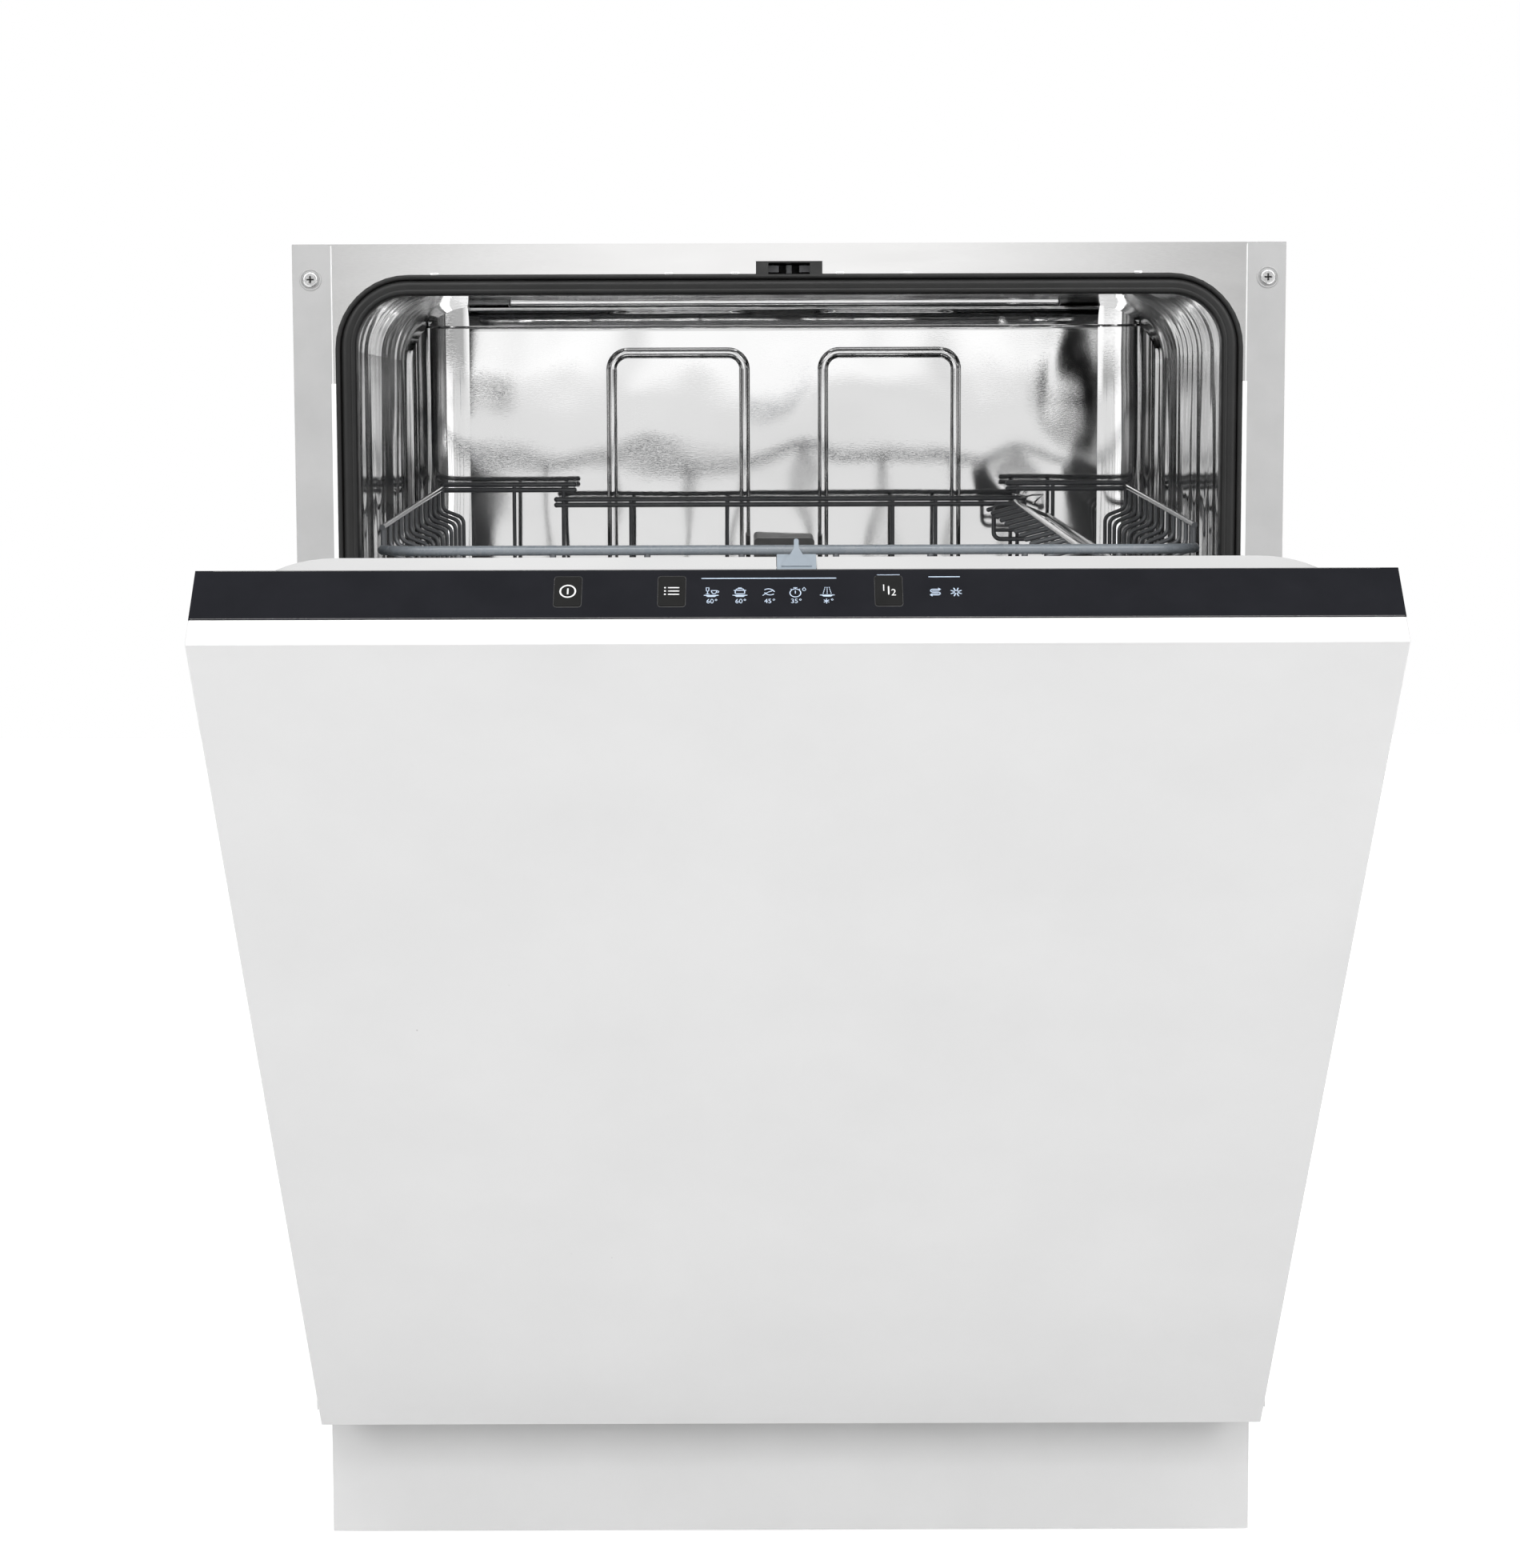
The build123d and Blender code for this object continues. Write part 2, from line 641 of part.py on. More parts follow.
tab_back = TAB_SETBACK + TAB_DEPTH
tab_y = tab_back - TAB_HOLE_INSET
with BuildPart() as worktop_brackets:
    for sign in SIDES:
        x = sign * TAB_SPACING / 2
        z = CABINET_HEIGHT + STRIP_SHEET
        block(x - TAB_WIDTH / 2, x + TAB_WIDTH / 2, TAB_SETBACK, tab_back, CABINET_HEIGHT, z)
        rod((x, tab_y, z), TAB_HOLE_R, TAB_DEPTH, mode=Mode.SUBTRACT)
keep(worktop_brackets.part, "worktop_brackets")

# Base tray, kick plate and feet
base_half = cabinet_half - BASE_INSET
ledge_half = cabinet_half - SHEET
base_back = CABINET_DEPTH - SHEET
base_top = BASE_FOOT_Z + BASE_HEIGHT
base_floor = BASE_FOOT_Z + BASE_WALL
foot_places = [(sign * FOOT_X, y) for y in (FOOT_FRONT_Y, FOOT_BACK_Y) for sign in SIDES]
with BuildPart() as base_tray:
    block(-base_half, base_half, BASE_FRONT_Y, base_back, BASE_FOOT_Z, base_top)
    hollow_half = base_half - BASE_WALL
    hollow_front = BASE_FRONT_Y + BASE_WALL
    hollow_back = base_back - BASE_WALL
    block(-hollow_half, hollow_half, hollow_front, hollow_back, base_floor, base_top, Mode.SUBTRACT)
    ledge_y = KICK_FRONT_Y + TOE_DEPTH
    for sign in SIDES:
        block(sign * base_half, sign * ledge_half, ledge_y, base_back, BASE_FOOT_Z, base_floor)
    for x, y in foot_places:
        rod((x, y, base_floor + FOOT_BOSS / 2), FOOT_BOSS_R, FOOT_BOSS)
    for x, y in foot_places:
        rod((x, y, base_floor), FOOT_STUD_R + RUNNING_GAP, BASE_HEIGHT, mode=Mode.SUBTRACT)
keep(base_tray.part, "base_tray")

for number, (x, y) in enumerate(foot_places, start=1):
    with BuildPart() as foot:
        rod((x, y, FOOT_PAD / 2), FOOT_PAD_R, FOOT_PAD)
        fillet(foot.edges().group_by(Axis.Z)[-1], FOOT_PAD / 3)
        rod((x, y, (FOOT_PAD + FOOT_STUD_TOP) / 2), FOOT_STUD_R, FOOT_STUD_TOP - FOOT_PAD)
        nut = BASE_FOOT_Z - LOOSE_GAP - FOOT_PAD
        with BuildSketch(Plane.XY.offset(FOOT_PAD)):
            with Locations((x, y)):
                RegularPolygon(FOOT_NUT_R, 6)
        extrude(amount=nut)
    keep(foot.part, f"foot_{number}")

kick_back = KICK_FRONT_Y + KICK_SHEET
with BuildPart() as kick_plate:
    block(-KICK_WIDTH / 2, KICK_WIDTH / 2, KICK_FRONT_Y, kick_back, KICK_GAP, KICK_TOP_Z)
keep(kick_plate.part, "kick_plate")

# Sump, filter and pumps
with BuildPart() as sump:
    rod((0, SUMP_Y, floor_under - SUMP_WALL / 2), SUMP_R + SUMP_FLANGE, SUMP_WALL)
    rod((0, SUMP_Y, floor_under - SUMP_DEPTH / 2), SUMP_R, SUMP_DEPTH)
    bowl = SUMP_DEPTH - SUMP_WALL
    rod((0, SUMP_Y, floor_under - bowl / 2), SUMP_R - SUMP_WALL, bowl, mode=Mode.SUBTRACT)
    post_top = TUB_FLOOR_Z + ARM_LIFT + ARM_HUB / 2
    rod((0, POST_Y, (sump_foot + post_top) / 2), POST_R, post_top - sump_foot)
keep(sump.part, "sump")

filter_top = TUB_FLOOR_Z + FILTER_SHEET
with BuildPart() as filter_plate:
    rod((0, SUMP_Y, TUB_FLOOR_Z + FILTER_SHEET / 2), SUMP_R + FILTER_LAP, FILTER_SHEET)
    rod((0, FILTER_Y, TUB_FLOOR_Z), FILTER_R + LOOSE_GAP, SUMP_FLANGE, mode=Mode.SUBTRACT)
    rod((0, POST_Y, TUB_FLOOR_Z), POST_R + LOOSE_GAP, SUMP_FLANGE, mode=Mode.SUBTRACT)
keep(filter_plate.part, "filter_plate")

filter_foot = sump_foot + SUMP_WALL + FILTER_FOOT_GAP
filter_head = TUB_FLOOR_Z + FILTER_RISE
with BuildPart() as filter_cylinder:
    rod((0, FILTER_Y, (filter_foot + filter_head) / 2), FILTER_R, filter_head - filter_foot)
    cup = filter_head - filter_foot - FILTER_SHEET
    rod((0, FILTER_Y, filter_head - cup / 2), FILTER_R - FILTER_SHEET, cup, mode=Mode.SUBTRACT)
    grip = FILTER_GRIP / 2
    grip_low = filter_foot + FILTER_SHEET
    block(-FILTER_R + SHEET, FILTER_R - SHEET, FILTER_Y - grip, FILTER_Y + grip, grip_low, filter_head)
keep(filter_cylinder.part, "filter_cylinder")


def spray_arm(centre_y, z, length):
    """A hollow-looking spray arm: a blade with round tips and a hub, about an upright axis."""
    with BuildPart(mode=Mode.PRIVATE) as arm:
        with BuildSketch(Plane.XY.offset(z - ARM_THICKNESS / 2)):
            with Locations((0, centre_y)):
                SlotOverall(length, ARM_WIDTH)
        extrude(amount=ARM_THICKNESS)
        fillet(arm.edges().group_by(Axis.Z)[-1], ARM_THICKNESS / 3)
        rod((0, centre_y, z), ARM_HUB_R, ARM_HUB)
        rod((0, centre_y, z), POST_R + RUNNING_GAP, ARM_HUB, mode=Mode.SUBTRACT)
    return arm.part


lower_arm_z = TUB_FLOOR_Z + ARM_LIFT + ARM_HUB / 2
keep(spray_arm(POST_Y, lower_arm_z, LOWER_ARM_LENGTH), "lower_spray_arm")

with BuildPart() as softener_tank:
    x0 = SALT_X - TANK_WIDTH / 2
    y0 = SALT_Y - SALT_NECK_R - 2 * SUMP_WALL
    z1 = floor_under - LOOSE_GAP
    block(x0, x0 + TANK_WIDTH, y0, y0 + TANK_DEPTH, z1 - TANK_HEIGHT, z1)
    neck_top = TUB_FLOOR_Z + SALT_TURN_GAP
    rod((SALT_X, SALT_Y, (z1 + neck_top) / 2), SALT_NECK_R - LOOSE_GAP, neck_top - z1)
    bore_r = SALT_NECK_R - 2 * SUMP_WALL
    bore = TANK_HEIGHT
    rod((SALT_X, SALT_Y, neck_top - bore / 2), bore_r, bore, mode=Mode.SUBTRACT)
keep(softener_tank.part, "softener_tank")

with BuildPart() as salt_cap:
    cap_foot = neck_top + LOOSE_GAP
    rod((SALT_X, SALT_Y, cap_foot + SALT_CAP / 2), SALT_CAP_R, SALT_CAP)
    fillet(salt_cap.edges().group_by(Axis.Z)[-1], SALT_CAP / 3)
    plug_r = bore_r - RUNNING_GAP
    rod((SALT_X, SALT_Y, cap_foot - SUMP_FLANGE / 2), plug_r, SUMP_FLANGE)
    notch = SALT_CAP / 3
    for sign in SIDES:
        x = SALT_X + sign * SALT_CAP_R / 2
        top = cap_foot + SALT_CAP
        block(x - notch, x + notch, SALT_Y - notch, SALT_Y + notch, top - notch, top, Mode.SUBTRACT)
keep(salt_cap.part, "salt_cap")

pump_y = SUMP_Y + SUMP_R + SUMP_WALL + PUMP_R
with BuildPart() as circulation_pump:
    rod((0, pump_y, PUMP_Z), PUMP_R, PUMP_LENGTH, ALONG_X)
    fillet(circulation_pump.edges().filter_by(GeomType.CIRCLE), SUMP_WALL)
    block(-PUMP_R, PUMP_R, pump_y - PUMP_R / 2, pump_y + PUMP_R / 2, base_floor, PUMP_Z)
keep(circulation_pump.part, "circulation_pump")

spigot_end_y = CABINET_DEPTH + SPIGOT_REACH
drain_y = spigot_end_y - 2 * DRAIN_PUMP_LENGTH
with BuildPart() as drain_pump:
    rod((DRAIN_X, drain_y + DRAIN_PUMP_LENGTH / 2, SPIGOT_Z), DRAIN_PUMP_R, DRAIN_PUMP_LENGTH, ALONG_Y)
    rod((DRAIN_X, drain_y + DRAIN_PUMP_LENGTH, SPIGOT_Z), DRAIN_SPIGOT_R, 2 * DRAIN_PUMP_LENGTH, ALONG_Y)
    x0 = DRAIN_X - DRAIN_PUMP_R / 2
    block(x0, x0 + DRAIN_PUMP_R, drain_y, drain_y + DRAIN_PUMP_LENGTH, base_floor, SPIGOT_Z)
keep(drain_pump.part, "drain_pump")

inlet_back_y = base_back - BASE_WALL
with BuildPart() as inlet_valve:
    x0 = INLET_X - INLET_BODY / 2
    body_top = SPIGOT_Z + INLET_BODY / 2
    block(x0, x0 + INLET_BODY, inlet_back_y - INLET_BODY, inlet_back_y, base_floor, body_top)
    neck = spigot_end_y - inlet_back_y
    rod((INLET_X, inlet_back_y + neck / 2, SPIGOT_Z), INLET_R, neck, ALONG_Y)
    rod((INLET_X, inlet_back_y + neck / 2, SPIGOT_Z), INLET_BORE_R, neck, ALONG_Y, Mode.SUBTRACT)
keep(inlet_valve.part, "inlet_valve")

with BuildPart() as air_break_tank:
    x0 = -(TUB_HALF + BREAK_TANK_GAP)
    x1 = -(cabinet_half - SHEET - BREAK_TANK_GAP)
    y1 = BREAK_TANK_Y + BREAK_TANK_DEPTH
    block(x0, x1, BREAK_TANK_Y, y1, BREAK_TANK_Z, BREAK_TANK_Z + BREAK_TANK_HEIGHT)
    fillet(air_break_tank.edges().filter_by(Axis.X), PRESSED_FRAME_R)
keep(air_break_tank.part, "air_break_tank")

duct_front = back_face_y - DUCT_DEPTH
duct_neck = DUCT_TOP - DUCT_HEAD
with BuildPart() as spray_feed_duct:
    block(-DUCT_NECK_HALF, DUCT_NECK_HALF, duct_front, back_face_y, TUB_FLOOR_Z, duct_neck)
    block(-DUCT_HALF, DUCT_HALF, duct_front, back_face_y, duct_neck, DUCT_TOP)
    fillet(spray_feed_duct.edges().filter_by(Axis.Y), DUCT_ROUND)
    rod((0, duct_front - DOCK_REACH / 2, DOCK_Z), DOCK_R, DOCK_REACH, ALONG_Y)
keep(spray_feed_duct.part, "spray_feed_duct")

# Latch in the front frame
latch_foot = TUB_TOP
cavity_foot = latch_foot + LATCH_WALL
cavity_top = latch_foot + LATCH_NOSE - LATCH_WALL / 2
jaw_foot = (cavity_foot + cavity_top - JAW_THICKNESS) / 2
latch_mid_z = (cavity_foot + cavity_top) / 2
cavity_back = FRAME_SHEET + LATCH_CAVITY_DEPTH
with BuildPart() as latch_housing:
    block(-LATCH_HALF, LATCH_HALF, -GASKET_NOSE, FRAME_SHEET, latch_foot, latch_foot + LATCH_NOSE)
    block(-LATCH_HALF, LATCH_HALF, FRAME_SHEET, LATCH_DEPTH, latch_foot, latch_foot + LATCH_HEIGHT)
    half = LATCH_CAVITY_HALF
    block(-half, half, FRAME_SHEET, cavity_back, cavity_foot, cavity_top, Mode.SUBTRACT)
    half = LATCH_MOUTH_HALF
    block(-half, half, -GASKET_NOSE, FRAME_SHEET, latch_foot + LATCH_FIT, cavity_top, Mode.SUBTRACT)
    for sign in SIDES:
        rod((sign * JAW_X, JAW_Y, latch_mid_z), JAW_POST_R, cavity_top - cavity_foot)
    pin_length = cavity_back - LATCH_PIN_Y
    rod((0, LATCH_PIN_Y + pin_length / 2, latch_mid_z), LATCH_PIN_R, pin_length, ALONG_Y)
keep(latch_housing.part, "latch_housing")

for sign, side in SIDES.items():
    with BuildPart() as latch_jaw:
        with BuildSketch(Plane.XY.offset(jaw_foot)):
            with BuildLine():
                Polyline(
                    (sign * JAW_GAP, JAW_TIP_Y),
                    (sign * (JAW_X + JAW_HUB_R), JAW_TIP_Y),
                    (sign * (JAW_X + JAW_HUB_R), JAW_Y),
                    (sign * (JAW_X - JAW_POST_R), JAW_Y),
                    (sign * (JAW_X - JAW_POST_R), JAW_TIP_Y + JAW_THICKNESS),
                    (sign * JAW_GAP, JAW_TIP_Y + JAW_THICKNESS),
                    close=True,
                )
            make_face()
            with Locations((sign * JAW_X, JAW_Y)):
                Circle(JAW_HUB_R)
                Circle(JAW_POST_R + RUNNING_GAP, mode=Mode.SUBTRACT)
        extrude(amount=JAW_THICKNESS)
    keep(latch_jaw.part, f"latch_jaw_{side}")

# Hinges: arms on the door, and plates with their pins on the cabinet's sides
plate_inner = ARM_X + ARM_SHEET + BRACKET_PLATE_GAP
panel_skin = cabinet_half - SHEET
with BuildPart() as hinge_brackets:
    boss = panel_skin - plate_inner
    pin_start = ARM_X - LOOSE_GAP - PIN_HEAD
    pin = plate_inner - pin_start
    for sign in SIDES:
        x0 = sign * plate_inner
        x1 = sign * (plate_inner + ARM_SHEET)
        y0 = HINGE_PLATE_FRONT_Y
        block(x0, x1, y0, HINGE_PLATE_BACK_Y, HINGE_PLATE_FOOT_Z, HINGE_PLATE_TOP_Z)
        for y, z in HINGE_BOSS_PLACES:
            rod((sign * (plate_inner + boss / 2), y, z), HINGE_BOSS_R, boss, ALONG_X)
        rod((sign * (pin_start + pin / 2), HINGE_Y, HINGE_Z), PIN_R, pin, ALONG_X)
        rod((sign * (pin_start + PIN_HEAD / 2), HINGE_Y, HINGE_Z), PIN_HEAD_R, PIN_HEAD, ALONG_X)
keep(hinge_brackets.part, "hinge_brackets")

with BuildPart() as hinge_arms:
    bar_back = HINGE_Y - ARM_DISC_R + ARM_BAR_WIDTH / 3
    for sign in SIDES:
        x0 = sign * ARM_X
        x1 = sign * (ARM_X + ARM_SHEET)
        rod(((x0 + x1) / 2, HINGE_Y, HINGE_Z), ARM_DISC_R, ARM_SHEET, ALONG_X)
        block(x0, x1, bar_back - ARM_BAR_WIDTH, bar_back, ARM_BAR_FOOT_Z, ARM_BAR_TOP_Z)
        rod((x0, HINGE_Y, HINGE_Z), PIN_R + RUNNING_GAP, 4 * ARM_SHEET, ALONG_X, Mode.SUBTRACT)
keep_on_door(hinge_arms.part, "hinge_arms")

cord_z = HINGE_Z + ARM_DISC_R + LOOSE_GAP + CORD_R
with BuildPart() as door_springs:
    for sign in SIDES:
        x = sign * (ARM_X + ARM_SHEET / 2)
        rod((x, (HINGE_Y + SPRING_FRONT_Y) / 2, cord_z), CORD_R, SPRING_FRONT_Y - HINGE_Y, ALONG_Y)
        rod((x, SPRING_FRONT_Y + SPRING_LENGTH / 2, cord_z), SPRING_R, SPRING_LENGTH, ALONG_Y)
        hook_y = SPRING_FRONT_Y + SPRING_LENGTH - SPRING_R
        rod(((x + sign * panel_skin) / 2, hook_y, cord_z), CORD_R, panel_skin - abs(x), ALONG_X)
keep(door_springs.part, "door_springs")

# Door: front panel, backing sheet, liner and fascia
liner_face_y = -DOOR_GAP
liner_back_y = liner_face_y - LINER_RIM
fascia_front_y = liner_back_y - FASCIA_DEPTH
fascia_foot_z = PANEL_TOP_Z - FASCIA_HEIGHT
backing_front_y = fascia_front_y + BRACKET_SHEET
panel_half = PANEL_WIDTH / 2
with BuildPart() as furniture_panel:
    front_y = fascia_front_y - PANEL_THICKNESS
    block(-panel_half, panel_half, front_y, fascia_front_y, PANEL_FOOT_Z, PANEL_TOP_Z)
    chamfer(furniture_panel.edges(), CORD_R / 3)
keep_on_door(furniture_panel.part, "furniture_panel")

with BuildPart() as furniture_brackets:
    for sign in SIDES:
        x0 = sign * BRACKET_X - BRACKET_WIDTH / 2
        z1 = BRACKET_FOOT_Z + BRACKET_LENGTH
        block(x0, x0 + BRACKET_WIDTH, fascia_front_y, backing_front_y, BRACKET_FOOT_Z, z1)
keep_on_door(furniture_brackets.part, "furniture_brackets")

with BuildPart() as door_outer_panel:
    half = BACKING_HALF
    block(-half, half, backing_front_y, liner_back_y, BACKING_FOOT_Z, fascia_foot_z)
    inner = half - SHEET
    low = BACKING_FOOT_Z + SHEET
    block(-inner, inner, backing_front_y + SHEET, liner_back_y - SHEET, low, fascia_foot_z, Mode.SUBTRACT)
    lip = LINER_HALF - SHEET
    block(-lip, lip, liner_back_y - SHEET, liner_back_y, low, fascia_foot_z, Mode.SUBTRACT)
keep_on_door(door_outer_panel.part, "door_outer_panel")


def liner_block(inset, y_front, y_back):
    """A solid of the liner's outline with its two round top corners, drawn in by this inset."""
    half = LINER_HALF - inset
    top = LINER_TOP_Z - inset
    foot = LINER_FOOT_Z + inset
    with BuildPart(mode=Mode.PRIVATE) as solid:
        with BuildSketch(upright(y_front)):
            with BuildLine():
                corner = LINER_CORNER_R - inset
                FilletPolyline((-half, foot), (-half, top), (half, top), (half, foot), radius=corner)
                Line((half, foot), (-half, foot))
            make_face()
        extrude(amount=y_front - y_back)
    return solid.part


def plateau_block(inset, y_front, y_back):
    """A solid of the raised field of the liner, drawn in by this inset."""
    with BuildPart(mode=Mode.PRIVATE) as solid:
        with BuildSketch(upright(y_front)):
            with Locations((0, (PLATEAU_FOOT_Z + PLATEAU_TOP_Z) / 2)):
                height = PLATEAU_TOP_Z - PLATEAU_FOOT_Z - 2 * inset
                RectangleRounded(2 * (PLATEAU_HALF - inset), height, PLATEAU_R - inset)
        extrude(amount=y_front - y_back)
    return solid.part


plateau_y = liner_face_y + PLATEAU
strike_foot = latch_mid_z - STRIKE_HEIGHT / 2
liner_skin = liner_block(0, liner_back_y, liner_face_y)
liner_hollow = liner_block(SHEET, liner_back_y, liner_face_y - SHEET)
plateau_skin = plateau_block(0, liner_face_y - SHEET, plateau_y)
plateau_hollow = plateau_block(SHEET, liner_face_y - SHEET, plateau_y - SHEET)
with BuildPart() as door_inner_panel:
    add(liner_skin)
    add(liner_hollow, mode=Mode.SUBTRACT)
    add(plateau_skin)
    add(plateau_hollow, mode=Mode.SUBTRACT)
    for sign in SIDES:
        x0 = sign * LINER_NOTCH_X
        x1 = sign * LINER_HALF
        block(x0, x1, liner_back_y, liner_face_y, LINER_FOOT_Z, LINER_NOTCH_Z, Mode.SUBTRACT)
    notch = STRIKE_HALF + LATCH_FIT
    block(-notch, notch, liner_back_y, liner_face_y, strike_foot, LINER_TOP_Z, Mode.SUBTRACT)
    hole = DISPENSER_HALF + DISPENSER_FIT
    z0 = DISPENSER_FOOT_Z - DISPENSER_FIT
    z1 = DISPENSER_TOP_Z + DISPENSER_FIT
    block(-hole, hole, liner_back_y, plateau_y, z0, z1, Mode.SUBTRACT)
keep_on_door(door_inner_panel.part, "door_inner_panel")

with BuildPart() as door_bottom_seal:
    z0 = LINER_FOOT_Z + SEAL_HEIGHT
    x1 = LINER_NOTCH_X - SHEET
    block(-x1, x1, liner_face_y, liner_face_y + SEAL_DEPTH, z0, z0 + SEAL_HEIGHT)
keep_on_door(door_bottom_seal.part, "door_bottom_seal")

with BuildPart() as door_strike:
    base_y = liner_face_y - LATCH_FIT
    block(-STRIKE_HALF, STRIKE_HALF, liner_back_y, base_y, strike_foot, LINER_TOP_Z)
    block(-STRIKE_HALF, STRIKE_HALF, base_y, STRIKE_TONGUE_Y, strike_foot, strike_foot + STRIKE_TONGUE)
    with BuildSketch(Plane.XY.offset(strike_foot)):
        with BuildLine():
            Polyline(
                (-STRIKE_FIN_HALF, STRIKE_FIN_Y), (STRIKE_FIN_HALF, STRIKE_FIN_Y),
                (STRIKE_TIP_R, STRIKE_SHOULDER_Y), (STRIKE_TIP_R, STRIKE_TIP_Y),
                (-STRIKE_TIP_R, STRIKE_TIP_Y), (-STRIKE_TIP_R, STRIKE_SHOULDER_Y), close=True,
            )
        make_face()
        with Locations((0, STRIKE_TIP_Y)):
            Circle(STRIKE_TIP_R)
    extrude(amount=STRIKE_HEIGHT)
    with BuildSketch(Plane.XY.offset(LINER_TOP_Z)):
        with BuildLine():
            taper = (STRIKE_FIN_HALF - STRIKE_TIP_R) / (STRIKE_SHOULDER_Y - STRIKE_FIN_Y)
            fin_end = STRIKE_FIN_HALF - taper * (base_y - STRIKE_FIN_Y)
            Polyline(
                (-STRIKE_FIN_HALF, STRIKE_FIN_Y), (STRIKE_FIN_HALF, STRIKE_FIN_Y),
                (fin_end, base_y), (-fin_end, base_y), close=True,
            )
        make_face()
    extrude(amount=STRIKE_FIT)
keep_on_door(door_strike.part, "door_strike")

button_y = (fascia_front_y + liner_back_y) / 2 + CORD_R
with BuildPart() as control_panel:
    block(-panel_half, panel_half, fascia_front_y, liner_back_y, fascia_foot_z, PANEL_TOP_Z)
    wall = FASCIA_WALL
    top = PANEL_TOP_Z - wall
    x1 = panel_half - wall
    block(-x1, x1, fascia_front_y + wall, liner_back_y - wall, fascia_foot_z, top, Mode.SUBTRACT)
    with BuildSketch(Plane.XY.offset(PANEL_TOP_Z)):
        with Locations([(x, button_y) for x in BUTTON_PLACES.values()]):
            fit = 2 * BUTTON_FIT
            RectangleRounded(BUTTON_WIDTH + fit, BUTTON_LENGTH + fit, BUTTON_ROUND + BUTTON_FIT)
    extrude(amount=-2 * wall, mode=Mode.SUBTRACT)
keep_on_door(control_panel.part, "control_panel")

for name, x in BUTTON_PLACES.items():
    with BuildPart() as button:
        flange_top = PANEL_TOP_Z - FASCIA_WALL - LOOSE_GAP
        with BuildSketch(Plane.XY.offset(flange_top - BUTTON_SKIRT)):
            with Locations((x, button_y)):
                RectangleRounded(BUTTON_WIDTH, BUTTON_LENGTH, BUTTON_ROUND)
        extrude(amount=PANEL_TOP_Z + BUTTON_PROUD - flange_top + BUTTON_SKIRT)
        half = BUTTON_WIDTH / 2 + BUTTON_FLANGE
        reach = BUTTON_LENGTH / 2 + BUTTON_FLANGE
        z0 = flange_top - BUTTON_FLANGE
        block(x - half, x + half, button_y - reach, button_y + reach, z0, flange_top)
    keep_on_door(button.part, name)

with BuildPart() as control_box:
    z1 = fascia_foot_z - CONTROL_BOX_GAP
    y0 = backing_front_y + SHEET
    z0 = z1 - CONTROL_BOX_HEIGHT
    block(CONTROL_BOX_X0, CONTROL_BOX_X1, y0, liner_back_y, z0, z1)
keep_on_door(control_box.part, "control_box")

# Detergent dispenser in the liner
dispenser_y = plateau_y + DISPENSER_PROUD
with BuildPart() as dispenser_body:
    half = DISPENSER_HALF
    block(-half, half, dispenser_y - DISPENSER_DEPTH, dispenser_y, DISPENSER_FOOT_Z, DISPENSER_TOP_Z)
    block(CUP_X0, CUP_X1, dispenser_y - CUP_DEPTH, dispenser_y, CUP_Z0, CUP_Z1, Mode.SUBTRACT)
    stem_r = RINSE_STEM_R + RUNNING_GAP
    rod((RINSE_X, dispenser_y, RINSE_Z), stem_r, 2 * (RINSE_STEM + LOOSE_GAP), ALONG_Y, Mode.SUBTRACT)
keep_on_door(dispenser_body.part, "dispenser_body")

with BuildPart() as dispenser_lid:
    y0 = dispenser_y + LOOSE_GAP
    block(CUP_X0 - LID_LAP, CUP_X1 + LID_LAP, y0, y0 + LID_THICKNESS, CUP_Z0 - LID_LAP, CUP_Z1 + LID_LAP)
    fillet(dispenser_lid.edges().filter_by(Axis.Y), LID_LAP)
keep_on_door(dispenser_lid.part, "dispenser_lid")

with BuildPart() as rinse_aid_cap:
    y0 = dispenser_y + LOOSE_GAP
    rod((RINSE_X, y0 + RINSE_CAP / 2, RINSE_Z), RINSE_CAP_R, RINSE_CAP, ALONG_Y)
    rod((RINSE_X, y0 - RINSE_STEM / 2, RINSE_Z), RINSE_STEM_R, RINSE_STEM, ALONG_Y)
    groove = LID_THICKNESS / 2
    x1 = RINSE_X + RINSE_CAP_R / 2
    x0 = RINSE_X - RINSE_CAP_R / 2
    y1 = y0 + RINSE_CAP
    block(x0, x1, y1 - groove, y1, RINSE_Z - groove, RINSE_Z + groove, Mode.SUBTRACT)
keep_on_door(rinse_aid_cap.part, "rinse_aid_cap")


def welded(wires):
    """One grille of wires that are welded where they cross."""
    with BuildPart(mode=Mode.PRIVATE) as grille:
        add(wires)
    return grille.part


def spread(start, end, count):
    """Places spread evenly from one end to the other."""
    return [start + (end - start) * i / (count - 1) for i in range(count)]


def rack_floor(half_at, cross_ys, z, runs):
    """A flat floor grille: wires across, on wires that run from front to back."""
    across = [straight_wire((-half_at(y), y, z), (half_at(y), y, z), WIRE_R) for y in cross_ys]
    run_y0 = cross_ys[0] - WIRE_R
    run_y1 = cross_ys[-1] + WIRE_R
    run_z = z - 2 * WIRE_R + WIRE_LAP
    along = [straight_wire((x, run_y0, run_z), (x, run_y1, run_z), WIRE_R) for x in runs]
    return welded(across + along)


def rack_front(half, y, rail_z, floor_z, rail_r, count):
    """The front grille: a rail bent back at both ends, and upright wires under it."""
    stub_y = y + CORNER_BEND + CORNER_STUB
    corners = [(-half, stub_y, rail_z), (-half, y, rail_z), (half, y, rail_z), (half, stub_y, rail_z)]
    rail = bent_wire(corners, rail_r, CORNER_BEND)
    reach = half - 2 * CORNER_BEND
    uprights = [
        straight_wire((x, y, rail_z), (x, y, floor_z + WIRE_R), WIRE_R)
        for x in spread(-reach, reach, count)
    ]
    return welded([rail, *uprights])


